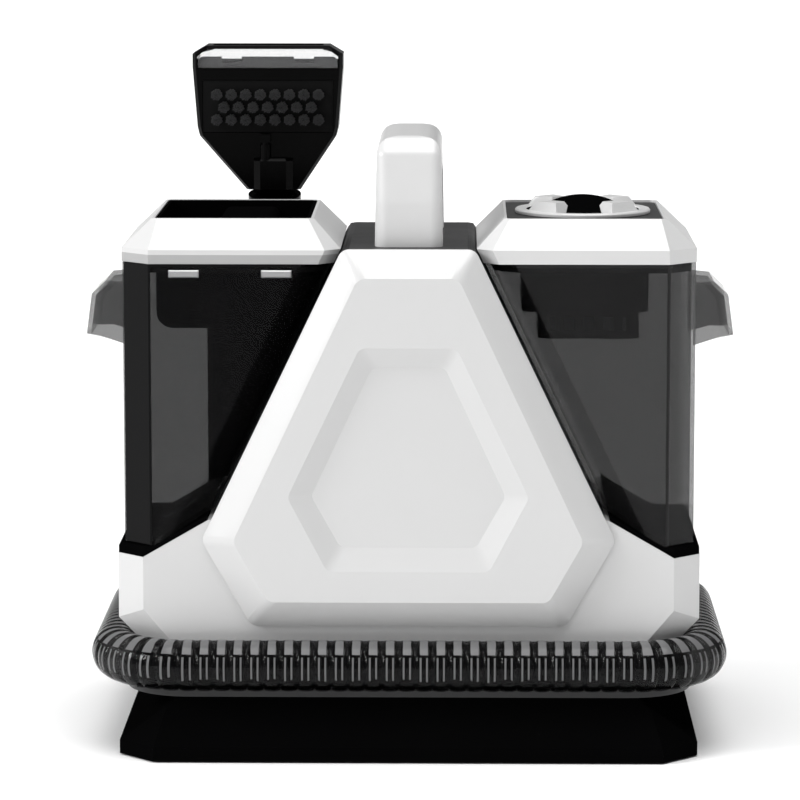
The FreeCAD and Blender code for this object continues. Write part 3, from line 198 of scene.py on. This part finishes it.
def see_through(name, colour, alpha, rough, specular=0.5):
    """Smoked clear plastic: dark, glossy and partly open to what lies behind."""
    finish = Finish(name)
    flow = finish.noise(9.0, 2.0)
    finish.set(Base_Color=finish.mix(flow, shade_of(colour, 0.85), shade_of(colour, 1.15)),
               Roughness=rough + (finish.noise(60.0, 3.0) - 0.5) * 0.04, Alpha=alpha,
               Specular_IOR_Level=specular)
    finish.bump(finish.noise(18.0, 1.0), 0.015, 0.0005)
    return finish


def smoked_tank(name, colour, alpha, dark_corner_width, specular):
    """Smoked tank wall, opaque along a band at its outer front corners and along its front just below
    the top rim; made wide, the corner band is painted shade over the whole corner chamfer.
    """
    corner_edge_across = 0.1498
    corner_depth_limit = -0.0818
    rim_low = 0.2864
    front = -0.0950
    finish = see_through(name, colour, alpha, 0.06, specular)
    across = finish.axis(0).size()
    depth = finish.axis(1)
    # opaque dark corner band: a thin dark edge line when narrow, painted shade across the chamfer when
    # wide
    dark_corner = (across > corner_edge_across) * (across < corner_edge_across + dark_corner_width) * (depth < corner_depth_limit)
    rim = (finish.axis(2) > rim_low) * (depth < front)
    finish.set(Alpha=alpha + (dark_corner + rim > 0.5) * (1.0 - alpha))
    return finish.material


def ribbed_clear(name, colour, alpha):
    """Smoky ribbed hose with painted highlights: light streaks painted on the flanks and light spots
    painted on top of each rib.
    """
    finish = see_through(name, colour, alpha, 0.07, 0.16)
    crest = finish.reading("rib_crest")
    height = finish.reading("rib_height")
    wobble = (finish.noise(160.0, 2.0) - 0.5) * 0.5
    # painted highlights: lighter, denser streaks on the rib flanks and spots on the rib tops, standing
    # in for light caught by the ribs
    painted_streak = ((crest - 0.35).size() < 0.30) * (height + wobble > -0.38) * (height < 0.50)
    painted_glint = (height > 0.60) * (crest + wobble > 0.05)
    plain = finish.mix(finish.noise(9.0, 2.0), shade_of(colour, 0.85), shade_of(colour, 1.15))
    painted_streak_colour = finish.mix(painted_streak, plain, (0.13, 0.13, 0.132, 1.0))
    painted_highlight_alpha = 0.95
    finish.set(Base_Color=finish.mix(painted_glint, painted_streak_colour, (0.14, 0.14, 0.142, 1.0)),
               Alpha=alpha + (painted_streak + painted_glint) * (painted_highlight_alpha - alpha))
    return finish.material


def banded_lid(name, colour, band_top):
    """White lid, darker grey along a band at its lower edge."""
    finish = Finish(name)
    clouds = finish.noise(14.0, 3.0)
    plain = finish.mix(clouds, shade_of(colour, 0.99), shade_of(colour, 1.01))
    grey = finish.mix(clouds, shade_of(colour, 0.60), shade_of(colour, 0.64))
    finish.set(Base_Color=finish.mix(finish.axis(2) > band_top, grey, plain),
               Roughness=0.30 + (finish.noise(55.0, 4.0) - 0.5) * 0.08)
    finish.bump(finish.noise(26.0, 1.0), 0.02, 0.0006)
    return finish.material


def brushed_metal(name, colour, rough, stretch):
    """Metal with fine lines along the axis where stretch is small."""
    finish = Finish(name)
    lines = finish.noise(420.0, 4.0, stretch)
    finish.set(Base_Color=finish.mix(lines, shade_of(colour, 0.86), shade_of(colour, 1.08)),
               Metallic=1.0, Roughness=rough + (lines - 0.5) * 0.16)
    finish.bump(lines, 0.08, 0.00008)
    return finish.material


def soft_rubber(name, colour):
    """Dull rubber with a little dust in its grain."""
    finish = Finish(name)
    dust = finish.noise(70.0, 5.0)
    finish.set(Base_Color=finish.mix(dust, shade_of(colour, 0.8), shade_of(colour, 1.5)),
               Roughness=0.62 + dust * 0.2)
    finish.bump(finish.noise(1500.0, 2.0), 0.25, 0.0001)
    return finish.material


def open_foam(name, colour):
    """Filter foam with open pores, painted darker towards the middle of each pore as shade."""
    finish = Finish(name)
    pore_depth_and_shade = finish.cells(620.0)
    # painted shade: the colour is darkest in the middle of each pore, where the bump sinks
    finish.set(Base_Color=finish.mix(pore_depth_and_shade, shade_of(colour, 0.35), shade_of(colour, 1.6)),
               Roughness=0.95)
    finish.bump(pore_depth_and_shade, 0.9, 0.0006)
    return finish.material


def circuit_lacquer(name, colour):
    """Green board lacquer with the copper tracks showing through."""
    finish = Finish(name)
    tracks = (finish.axis(0) * 1500.0 + finish.noise(60.0) * 6.0).sine() > 0.55
    finish.set(Base_Color=finish.mix(tracks, shade_of(colour, 0.8), (0.10, 0.22, 0.07, 1.0)),
               Roughness=0.35, Coat_Weight=0.4)
    finish.bump(tracks, 0.3, 0.0001)
    return finish.material


def nylon_bristle(name, colour):
    """Bristle nylon, streaked along the strands."""
    finish = Finish(name)
    strand = finish.noise(2600.0, 1.0, (1.0, 0.05, 1.0))
    finish.set(Base_Color=finish.mix(strand, shade_of(colour, 0.6), shade_of(colour, 1.7)),
               Roughness=0.38 + strand * 0.15)
    finish.bump(strand, 0.3, 0.0001)
    return finish.material


# ---------------------------------------------------------------- mesh writing

def new_piece(name, mesh, material, body="root"):
    """Links a finished mesh, gives it its finish and lets it ride on a body."""
    piece = bpy.data.objects.new(name, mesh)
    bpy.context.scene.collection.objects.link(piece)
    mesh.materials.append(material)
    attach(piece, body)
    return piece


def mesh_from(name, points, faces, smooth=True):
    """A mesh from its points and faces, shaded smooth or flat."""
    mesh = bpy.data.meshes.new(name)
    mesh.from_pydata([tuple(point) for point in points], [], faces)
    mesh.update()
    for face in mesh.polygons:
        face.use_smooth = smooth
    return mesh


def ring_faces(rings, sides):
    """Quads between neighbouring rings of points."""
    faces = []
    for i in range(rings - 1):
        low = i * sides
        high = low + sides
        for k in range(sides):
            after = (k + 1) % sides
            faces.append((low + k, low + after, high + after, high + k))
    return faces


def carried_frames(points):
    """A direction and two cross axes at each point, carried along the line without twist."""
    frames = []
    up = Vector((0, 0, 1))
    last = len(points) - 1
    for i in range(len(points)):
        ahead = points[min(i + 1, last)] - points[max(i - 1, 0)]
        ahead.normalize()
        if abs(ahead.dot(up)) > 0.95:
            up = frames[-1][1] if frames else Vector((0, 1, 0))
        side = ahead.cross(up).normalized()
        up = side.cross(ahead).normalized()
        frames.append((side, up))
    return frames


def tube_mesh(name, points, radii, sides, wall):
    """Open tube with an inner skin: radii is the outer radius at each point."""
    frames = carried_frames(points)
    skins = []
    for inset in (0.0, wall):
        for (side, up), point, radius in zip(frames, points, radii):
            for k in range(sides):
                angle = 2 * math.pi * k / sides
                reach = radius - inset
                skins.append(point + side * math.cos(angle) * reach + up * math.sin(angle) * reach)
    count = len(points)
    outer = ring_faces(count, sides)
    offset = count * sides
    inner = [tuple(offset + i for i in reversed(face)) for face in outer]
    last = (count - 1) * sides
    rims = []
    for k in range(sides):
        after = (k + 1) % sides
        rims.append((k, offset + k, offset + after, after))
        rims.append((last + k, last + after, offset + last + after, offset + last + k))
    return mesh_from(name, skins, outer + inner + rims)


def turned_mesh(name, profile, sides):
    """Solid of revolution about Z from (radius, height) pairs; radius 0 closes an end."""
    points = []
    faces = []
    rings = []
    for radius, height in profile:
        if radius == 0:
            rings.append([len(points)])
            points.append((0, 0, height))
            continue
        rings.append(list(range(len(points), len(points) + sides)))
        for k in range(sides):
            angle = 2 * math.pi * k / sides
            points.append((radius * math.cos(angle), radius * math.sin(angle), height))
    for low, high in zip(rings, rings[1:]):
        for k in range(sides):
            after = (k + 1) % sides
            if len(low) == 1:
                faces.append((low[0], high[after], high[k]))
            elif len(high) == 1:
                faces.append((low[k], low[after], high[0]))
            else:
                faces.append((low[k], low[after], high[after], high[k]))
    return mesh_from(name, points, faces)


def soften(node_name, width):
    """Small moulded radius on the edges of a CAD node."""
    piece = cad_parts[node_name]
    weld = piece.modifiers.new("Weld", "WELD")
    weld.merge_threshold = 0.00001
    bevel = piece.modifiers.new("Edge radius", "BEVEL")
    bevel.width = width
    bevel.segments = 2
    bevel.limit_method = "ANGLE"
    bevel.angle_limit = math.radians(28.0)
    bevel.harden_normals = True
    bevel.use_clamp_overlap = True


def finish_nodes(names, material):
    """Gives CAD nodes their finish."""
    for name in names:
        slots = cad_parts[name].data.materials
        slots.clear()
        slots.append(material)


# ---------------------------------------------------------------- settings

def size_setting(label, text, default):
    """A length that a user may change."""
    return bpy.props.FloatProperty(name=label, description=text, default=default,
                                   unit="LENGTH", precision=5, min=0.0)


def colour_setting(label, text, default):
    """A colour that a user may change."""
    return bpy.props.FloatVectorProperty(name=label, description=text, default=default,
                                         subtype="COLOR", size=3, min=0.0, max=1.0)


class SpotCleanerSizes(bpy.types.PropertyGroup):
    hose_diameter: size_setting("Hose diameter", "Outside of the hose ribs", 0.030)
    hose_pitch: size_setting("Hose rib pitch", "Distance from rib to rib", 0.0098)
    hose_groove: size_setting("Hose groove", "Depth between two ribs", 0.0017)
    bristle_radius: size_setting("Bristle radius", "Radius of one nylon bristle", 0.00032)
    edge_radius: size_setting("Edge radius", "Moulded radius on outer edges", 0.0008)


class SpotCleanerColours(bpy.types.PropertyGroup):
    shell_white: colour_setting("Shell white", "White casings", (0.60, 0.60, 0.60))
    base_black: colour_setting("Gloss black", "Base, cradles and tool", (0.0018, 0.0018, 0.0019))
    satin_dark: colour_setting("Satin dark", "Tower and inner panels", (0.020, 0.020, 0.0207))
    smoke: colour_setting("Smoke", "See-through tanks", (0.004, 0.004, 0.0042))
    hose_smoke: colour_setting("Hose smoke", "See-through hose", (0.003, 0.003, 0.0032))
    floor: colour_setting("Floor", "Studio floor", (0.97, 0.97, 0.97))


def sizes():
    return bpy.context.scene.spot_cleaner_sizes


def colours():
    return bpy.context.scene.spot_cleaner_colours


# ---------------------------------------------------------------- finishes

_finishes = {}


def finishes():
    """Every finish of the machine, made once."""
    if _finishes:
        return _finishes
    tones = colours()
    white = tuple(tones.shell_white)
    black = tuple(tones.base_black)
    satin = tuple(tones.satin_dark)
    smoke = tuple(tones.smoke)
    _finishes.update({
        "white": moulded("White gloss plastic", white, 0.30, 0.08, 0.0, 0.1, 0.012),
        "banded": banded_lid("White lid with grey band", white, 0.2937),
        "black": moulded("Black gloss plastic", black, 0.16, 0.06, 0.0, 0.0, 0.1, 0.0),
        "satin": moulded("Dark satin plastic", satin, 0.42, 0.10, 0.25, 0.0, 0.06, 0.3),
        "lip": moulded("Grey satin lip", shade_of(satin, 0.7), 0.4, 0.10, 0.1, 0.0, 0.06, 0.3),
        "panel": moulded("Dark textured panel", shade_of(satin, 0.12), 0.5, 0.12, 0.4, 0.0, 0.1, 0.1),
        "nozzle": moulded("Black tool plastic", shade_of(black, 0.3), 0.22, 0.1, 0.1, 0.0, 0.1, 0.05),
        "inner": moulded("Grey inner plastic", (0.22, 0.23, 0.25), 0.45, 0.12, 0.3, 0.0, 0.06),
        "smoke": smoked_tank("Smoked tank plastic", smoke, 0.57, 0.0018, 0.22),
        # painted shade: this copy is opaque black over the clean tank's whole outer corner chamfer and
        # reflects less, standing in for the dark reflection on that side
        "smoke_painted_chamfer_shade": smoked_tank("Smoked tank plastic with painted chamfer shade", smoke, 0.54, 0.1, 0.06),
        "grip": see_through("Smoked grip plastic", smoke, 0.55, 0.08, 0.25).material,
        "strip": see_through("Clear strip", (0.5, 0.5, 0.51), 0.10, 0.08, 0.3).material,
        # the hose finish carries painted highlights on its ribs
        "hose": ribbed_clear("Smoky ribbed hose", tuple(tones.hose_smoke), 0.50),
        "water_tube": see_through("Clear water tube", (0.6, 0.62, 0.63), 0.45, 0.15).material,
        "rubber": soft_rubber("Black rubber", (0.018, 0.018, 0.018)),
        "catch": brushed_metal("Bright catch", (0.36, 0.36, 0.365), 0.30, (0.1, 1.0, 1.0)),
        "steel": brushed_metal("Zinc plated steel", (0.50, 0.50, 0.52), 0.34, (1.0, 1.0, 0.1)),
        "motor": brushed_metal("Rolled motor steel", (0.38, 0.38, 0.39), 0.42, (1.0, 1.0, 0.05)),
        "aluminium": brushed_metal("Pressed aluminium", (0.66, 0.66, 0.68), 0.36, (0.2, 1.0, 1.0)),
        "board": circuit_lacquer("Circuit lacquer", (0.02, 0.12, 0.05)),
        "foam": open_foam("Filter foam", (0.07, 0.07, 0.08)),
        "bristle": nylon_bristle("Nylon bristle", (0.024, 0.024, 0.025)),
    })
    return _finishes


# ---------------------------------------------------------------- hose

def hose_route():
    """Control points of the hose in mm: round the channel, then up to the tool."""
    across = 173.0
    depth = 115.5
    level = 55.5
    near_x = 146.1
    near_y = 88.6
    lead = 38.0
    far_x = near_x - lead
    far_y = near_y - lead
    points = [(14.0, depth), (far_x, depth), (near_x, depth), (across, near_y), (across, far_y),
              (across, -far_y), (across, -near_y), (near_x, -depth), (far_x, -depth),
              (-far_x, -depth), (-near_x, -depth), (-across, -near_y), (-across, -far_y),
              (-across, far_y), (-across, near_y), (-near_x, depth)]
    route = [(x, y, level) for x, y in points]
    rise = 24.6
    tool_x = -85.4
    route += [(tool_x - rise, depth, level), (tool_x, depth, level + rise), (tool_x, depth, 112.0)]
    return [Vector(point) * MM for point in route]


def spline_line(name, route):
    """Points along the smooth line that the control points give."""
    curve = bpy.data.curves.new(name, "CURVE")
    curve.dimensions = "3D"
    curve.resolution_u = 32
    spline = curve.splines.new("NURBS")
    spline.points.add(len(route) - 1)
    for point, place in zip(spline.points, route):
        point.co = (place.x, place.y, place.z, 1.0)
    spline.order_u = 3
    spline.use_endpoint_u = True
    holder = bpy.data.objects.new(name, curve)
    line = bpy.data.meshes.new_from_object(holder)
    points = [vertex.co.copy() for vertex in line.vertices]
    bpy.data.objects.remove(holder)
    bpy.data.meshes.remove(line)
    return points


def even_steps(points, step):
    """Points at an even distance along a line, and that distance."""
    reach = [0.0]
    for before, after in zip(points, points[1:]):
        reach.append(reach[-1] + (after - before).length)
    count = round(reach[-1] / step)
    placed = []
    i = 0
    for k in range(count + 1):
        wanted = reach[-1] * k / count
        while i < len(reach) - 2 and reach[i + 1] < wanted:
            i += 1
        share = (wanted - reach[i]) / max(reach[i + 1] - reach[i], 1e-9)
        placed.append(points[i].lerp(points[i + 1], min(share, 1.0)))
    return placed, reach[-1]


def note_ribs(mesh, turns, sides):
    """Stores on the outer skin how near each point is to a rib's crest and how high it sits; the hose
    finish places its painted highlights by these.
    """
    crest = mesh.attributes.new("rib_crest", "FLOAT", "POINT")
    height = mesh.attributes.new("rib_height", "FLOAT", "POINT")
    outer = len(turns) * sides
    for i in range(len(mesh.vertices)):
        crest.data[i].value = -math.cos(2 * math.pi * turns[i // sides]) if i < outer else -1.0
        height.data[i].value = math.sin(2 * math.pi * (i % sides) / sides) if i < outer else -1.0


def rib_radius(along, outer, pitch, groove):
    """Outer radius of the ribbed wall: rounded beads with a narrow groove between them."""
    phase = (along / pitch) % 1.0
    bead = math.sqrt(max(0.0, 1.0 - abs(2.0 * phase - 1.0) ** 3))
    return outer - groove * (1.0 - bead)


class SPOTCLEANER_OT_hose(bpy.types.Operator):
    """Make the see-through ribbed hose and its rubber cuff"""
    bl_idname = "spotcleaner.hose"
    bl_label = "Hose"

    def execute(self, context):
        made = sizes()
        outer = made.hose_diameter / 2
        steps_per_rib = 12
        sides = 44
        wall = 0.0009
        step = made.hose_pitch / steps_per_rib
        points, length = even_steps(spline_line("hose line", hose_route()), step)
        spacing = length / (len(points) - 1)
        radii = [rib_radius(i * spacing, outer, made.hose_pitch, made.hose_groove)
                 for i in range(len(points))]
        mesh = tube_mesh("ribbed_hose", points, radii, sides, wall)
        note_ribs(mesh, [i * spacing / made.hose_pitch for i in range(len(points))], sides)
        hose = new_piece("ribbed_hose", mesh, finishes()["hose"], "root")
        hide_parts("hose")
        cuff = self.make_cuff()
        return {"FINISHED"}

    def make_cuff(self):
        """Ribbed rubber sleeve with the ball that the tool swivels on."""
        low, high = (Vector(corner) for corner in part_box("hose_cuff"))
        middle = (low + high) / 2
        radius = (high.x - low.x) / 2
        sleeve = 0.014
        groove = 0.0012
        groove_pitch = 0.0026
        profile = [(0.0118, 0.0), (radius - 0.0016, 0.0), (radius, 0.0014)]
        for i in range(4):
            start = 0.0022 + i * groove_pitch
            profile += [(radius, start), (radius - groove, start + 0.0005),
                        (radius - groove, start + 0.0012), (radius, start + 0.0017)]
        profile += [(radius, sleeve - 0.0014), (radius - 0.0018, sleeve), (0.0085, sleeve + 0.0004),
                    (0.0075, sleeve + 0.0014)]
        ball = 0.0096
        ball_z = high.z - low.z - ball
        ball_steps = 11
        for i in range(ball_steps + 1):
            angle = math.radians(-50 + 140 * i / ball_steps)
            profile.append((max(ball * math.cos(angle), 0.0), ball_z + ball * math.sin(angle)))
        profile[-1] = (0, ball_z + ball)
        mesh = turned_mesh("hose_end_cuff", profile, 48)
        mesh.transform(Matrix.Translation((middle.x, middle.y, low.z)))
        mesh.update()
        cuff = new_piece("hose_end_cuff", mesh, finishes()["rubber"], "root")
        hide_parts("hose_cuff")
        return cuff


# ---------------------------------------------------------------- casings

class SPOTCLEANER_OT_casings(bpy.types.Operator):
    """Finish the white casings, the front cover and the carrying handle"""
    bl_idname = "spotcleaner.casings"
    bl_label = "White casings"

    def execute(self, context):
        finish_nodes(("lower_body", "front_cover", "carry_handle"), finishes()["white"])
        soften("lower_body", sizes().edge_radius)
        soften("front_cover", sizes().edge_radius)
        return {"FINISHED"}


class SPOTCLEANER_OT_base(bpy.types.Operator):
    """Finish the gloss base, the hose channel, the tower and its back panel"""
    bl_idname = "spotcleaner.base"
    bl_label = "Base and tower"

    def execute(self, context):
        made = finishes()
        finish_nodes(("base_tray", "clean_tank_seat", "dirty_tank_seat"), made["black"])
        finish_nodes(("hose_drum", "tower_housing", "rear_cover", "tool_dock"), made["satin"])
        finish_nodes(("bottom_plate",), made["panel"])
        finish_nodes(("rubber_feet", "rubber_mounts", "cord_inlet"), made["rubber"])
        finish_nodes(("exhaust_filter",), made["foam"])
        for name in ("base_tray", "tower_housing", "rear_cover", "tool_dock"):
            soften(name, sizes().edge_radius)
        return {"FINISHED"}


class SPOTCLEANER_OT_tanks(bpy.types.Operator):
    """Finish the smoked tanks, their side grips and the snap catches"""
    bl_idname = "spotcleaner.tanks"
    bl_label = "Tanks"

    def execute(self, context):
        made = finishes()
        # the clean tank takes the copy with painted shade on its corner chamfer
        finish_nodes(("clean_tank_shell",), made["smoke_painted_chamfer_shade"])
        finish_nodes(("dirty_tank_shell",), made["smoke"])
        finish_nodes(("clean_tank_grip", "dirty_tank_grip"), made["grip"])
        finish_nodes(("lid_snap_tabs",), made["catch"])
        finish_nodes(("valve_body", "valve_plunger", "clean_receiver"), made["inner"])
        return {"FINISHED"}


class SPOTCLEANER_OT_lids(bpy.types.Operator):
    """Finish the two lids, the grab pocket, the turning knob and the separator"""
    bl_idname = "spotcleaner.lids"
    bl_label = "Lids"

    def execute(self, context):
        made = finishes()
        finish_nodes(("clean_tank_lid",), made["banded"])
        finish_nodes(("dirty_tank_lid", "knob_ring"), made["white"])
        finish_nodes(("lid_pocket", "lid_grab_bar", "knob_dome"), made["black"])
        finish_nodes(("lid_panel",), made["satin"])
        finish_nodes(("separator_housing", "float_cage"), made["nozzle"])
        finish_nodes(("shut_off_float",), made["inner"])
        finish_nodes(("clean_lid_gasket", "dirty_lid_gasket"), made["rubber"])
        for name in ("clean_tank_lid", "dirty_tank_lid", "knob_ring"):
            soften(name, sizes().edge_radius)
        return {"FINISHED"}


# ---------------------------------------------------------------- cleaning tool

class SPOTCLEANER_OT_tool(bpy.types.Operator):
    """Make the brush bristles and finish the parked cleaning tool"""
    bl_idname = "spotcleaner.tool"
    bl_label = "Cleaning tool"

    def execute(self, context):
        made = finishes()
        finish_nodes(("nozzle_shell", "tool_handle", "spray_tip"), made["nozzle"])
        finish_nodes(("brush_block", "trigger"), made["panel"])
        finish_nodes(("nozzle_lip",), made["lip"])
        finish_nodes(("nozzle_window",), made["strip"])
        soften("nozzle_shell", sizes().edge_radius * 0.6)
        self.make_bristles()
        return {"FINISHED"}

    def make_bristles(self):
        """Tufts of bristles in staggered rows of eight, seven and eight."""
        low, high = (Vector(corner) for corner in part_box("brush_tufts"))
        tuft_radius = 0.00375
        pitch = (high.x - low.x - 2 * tuft_radius) / 7
        row_pitch = (high.z - low.z - 2 * tuft_radius) / 2
        middle = (low + high) / 2
        dice = random.Random(7)
        points = []
        faces = []
        for row, count in ((1, 8), (0, 7), (-1, 8)):
            for i in range(count):
                x = middle.x + (i - (count - 1) / 2) * pitch
                z = middle.z + row * row_pitch
                self.add_tuft(points, faces, Vector((x, high.y, z)), low.y, tuft_radius, dice)
        mesh = mesh_from("brush_bristles", points, faces)
        brush = new_piece("brush_bristles", mesh, finishes()["bristle"], "root")
        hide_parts("brush_tufts")

    def add_tuft(self, points, faces, root, tip_y, tuft_radius, dice):
        """A round bundle of bristles, packed like the seeds of a sunflower."""
        strands = 48
        sides = 5
        lean = 0.2 * MM
        uneven = 0.35 * MM
        golden = math.pi * (3 - math.sqrt(5))
        radius = sizes().bristle_radius
        for k in range(strands):
            spread = tuft_radius * 0.9 * math.sqrt((k + 0.5) / strands)
            angle = k * golden
            base = root + Vector((math.cos(angle), 0, math.sin(angle))) * spread
            tip = base + Vector((dice.uniform(-lean, lean), 0, dice.uniform(-lean, lean)))
            tip.y = tip_y + dice.uniform(0.0, uneven)
            start = len(points)
            for centre, size in ((base, radius * 1.25), (tip, radius)):
                for s in range(sides):
                    turn = 2 * math.pi * s / sides
                    points.append(centre + Vector((math.cos(turn), 0, math.sin(turn))) * size)
            faces.extend(tuple(start + index for index in face) for face in ring_faces(2, sides))
            faces.append(tuple(start + sides + s for s in range(sides)))


# ---------------------------------------------------------------- inside

class SPOTCLEANER_OT_inside(bpy.types.Operator):
    """Finish the motor, fan, pump, electrics, ducts and fasteners"""
    bl_idname = "spotcleaner.inside"
    bl_label = "Inner parts"

    def execute(self, context):
        made = finishes()
        finish_nodes(("motor_can", "motor_rotor"), made["motor"])
        finish_nodes(("fan_impeller",), made["aluminium"])
        finish_nodes(("fan_housing", "pump_body", "power_switch", "suction_duct"), made["inner"])
        finish_nodes(("hose_elbow", "power_button"), made["panel"])
        finish_nodes(("control_board",), made["board"])
        finish_nodes(("water_line",), made["water_tube"])
        finish_nodes(("fan_shaft", "bottom_screws", "rear_screws", "handle_screws"), made["steel"])
        return {"FINISHED"}


# ---------------------------------------------------------------- studio

def add_lamp(name, kind, at, towards):
    """A light of this kind that looks from one place to another."""
    lamp = bpy.data.lights.new(name, kind)
    holder = bpy.data.objects.new(name, lamp)
    bpy.context.scene.collection.objects.link(holder)
    holder.location = at
    holder.rotation_euler = (Vector(towards) - Vector(at)).to_track_quat("-Z", "Y").to_euler()
    return lamp


def sun_light(name, direction, strength, spread):
    """Even light from a direction, so that the floor stays equally pale everywhere."""
    lamp = add_lamp(name, "SUN", direction, (0, 0, 0))
    lamp.energy = strength
    lamp.angle = math.radians(spread)


def strip_light(name, at, towards, size, power):
    """Narrow upright light that draws a bright line on glossy pieces."""
    lamp = add_lamp(name, "AREA", at, towards)
    lamp.shape = "RECTANGLE"
    lamp.size, lamp.size_y = size
    lamp.energy = power


class SPOTCLEANER_OT_stage(bpy.types.Operator):
    """Make the camera, the floor and the soft studio light"""
    bl_idname = "spotcleaner.stage"
    bl_label = "Stage"

    def execute(self, context):
        scene = context.scene
        scene.view_settings.view_transform = "Standard"
        self.make_camera(scene)
        self.make_floor()
        sun_light("Key sun", (-0.90, -0.35, 0.55), 2.0, 24.0)
        sun_light("Top sun", (0.10, -0.15, 1.0), 2.6, 50.0)
        middle = (0.0, 0.0, 0.12)
        strip_light("Left strip", (-1.5, -1.7, 0.7), middle, (0.10, 1.3), 3.4)
        strip_light("Right strip", (1.6, -1.6, 0.7), middle, (0.10, 1.3), 1.5)
        world = bpy.data.worlds.new("Studio")
        world.use_nodes = True
        sky = world.node_tree.nodes["Background"].inputs
        sky["Color"].default_value = (1, 1, 1, 1)
        sky["Strength"].default_value = 0.24
        scene.world = world
        return {"FINISHED"}

    def make_camera(self, scene):
        lens = bpy.data.cameras.new("Camera")
        lens.lens = 180.0
        lens.sensor_width = 36.0
        lens.clip_end = 100.0
        camera = bpy.data.objects.new("Camera", lens)
        scene.collection.objects.link(camera)
        target = Vector((-0.0049, -0.100, 0.2096))
        azimuth = math.radians(0.9023)
        pitch = math.radians(8.2504)
        distance = 2.320
        away = Vector((math.sin(azimuth) * math.cos(pitch), -math.cos(azimuth) * math.cos(pitch),
                       math.sin(pitch)))
        camera.location = target + away * distance
        camera.rotation_euler = (-away).to_track_quat("-Z", "Y").to_euler()
        scene.camera = camera

    def make_floor(self):
        half = 30.0
        level = -0.0005
        corners = [(-half, -half, level), (half, -half, level), (half, half, level),
                   (-half, half, level)]
        mesh = mesh_from("studio_floor", corners, [(0, 1, 2, 3)], False)
        finish = Finish("Studio floor")
        cloud = finish.noise(0.7, 2.0)
        tone = tuple(colours().floor)
        finish.set(Base_Color=finish.mix(cloud, shade_of(tone, 0.99), shade_of(tone, 1.01)),
                   Roughness=0.9)
        floor = bpy.data.objects.new("studio_floor", mesh)
        mesh.materials.append(finish.material)
        bpy.context.scene.collection.objects.link(floor)


class SPOTCLEANER_PT_panel(bpy.types.Panel):
    """Sizes, colours and makers of the spot cleaner"""
    bl_idname = "SPOTCLEANER_PT_panel"
    bl_label = "Spot Cleaner"
    bl_space_type = "VIEW_3D"
    bl_region_type = "UI"
    bl_category = "Spot Cleaner"

    def draw(self, context):
        layout = self.layout
        for group in (context.scene.spot_cleaner_sizes, context.scene.spot_cleaner_colours):
            box = layout.box()
            for key in group.__annotations__:
                box.prop(group, key)
        for maker in MAKERS:
            layout.operator(maker.bl_idname)


MAKERS = (SPOTCLEANER_OT_stage, SPOTCLEANER_OT_hose, SPOTCLEANER_OT_casings, SPOTCLEANER_OT_base,
          SPOTCLEANER_OT_tanks, SPOTCLEANER_OT_lids, SPOTCLEANER_OT_tool, SPOTCLEANER_OT_inside)
CLASSES = (SpotCleanerSizes, SpotCleanerColours) + MAKERS + (SPOTCLEANER_PT_panel,)


def register():
    for part in CLASSES:
        bpy.utils.register_class(part)
    bpy.types.Scene.spot_cleaner_sizes = bpy.props.PointerProperty(type=SpotCleanerSizes)
    bpy.types.Scene.spot_cleaner_colours = bpy.props.PointerProperty(type=SpotCleanerColours)


def unregister():
    del bpy.types.Scene.spot_cleaner_colours
    del bpy.types.Scene.spot_cleaner_sizes
    for part in reversed(CLASSES):
        bpy.utils.unregister_class(part)


def main():
    register()
    for maker in MAKERS:
        name = maker.bl_idname.split(".")[1]
        getattr(bpy.ops.spotcleaner, name)()


if __name__ == "__main__":
    main()
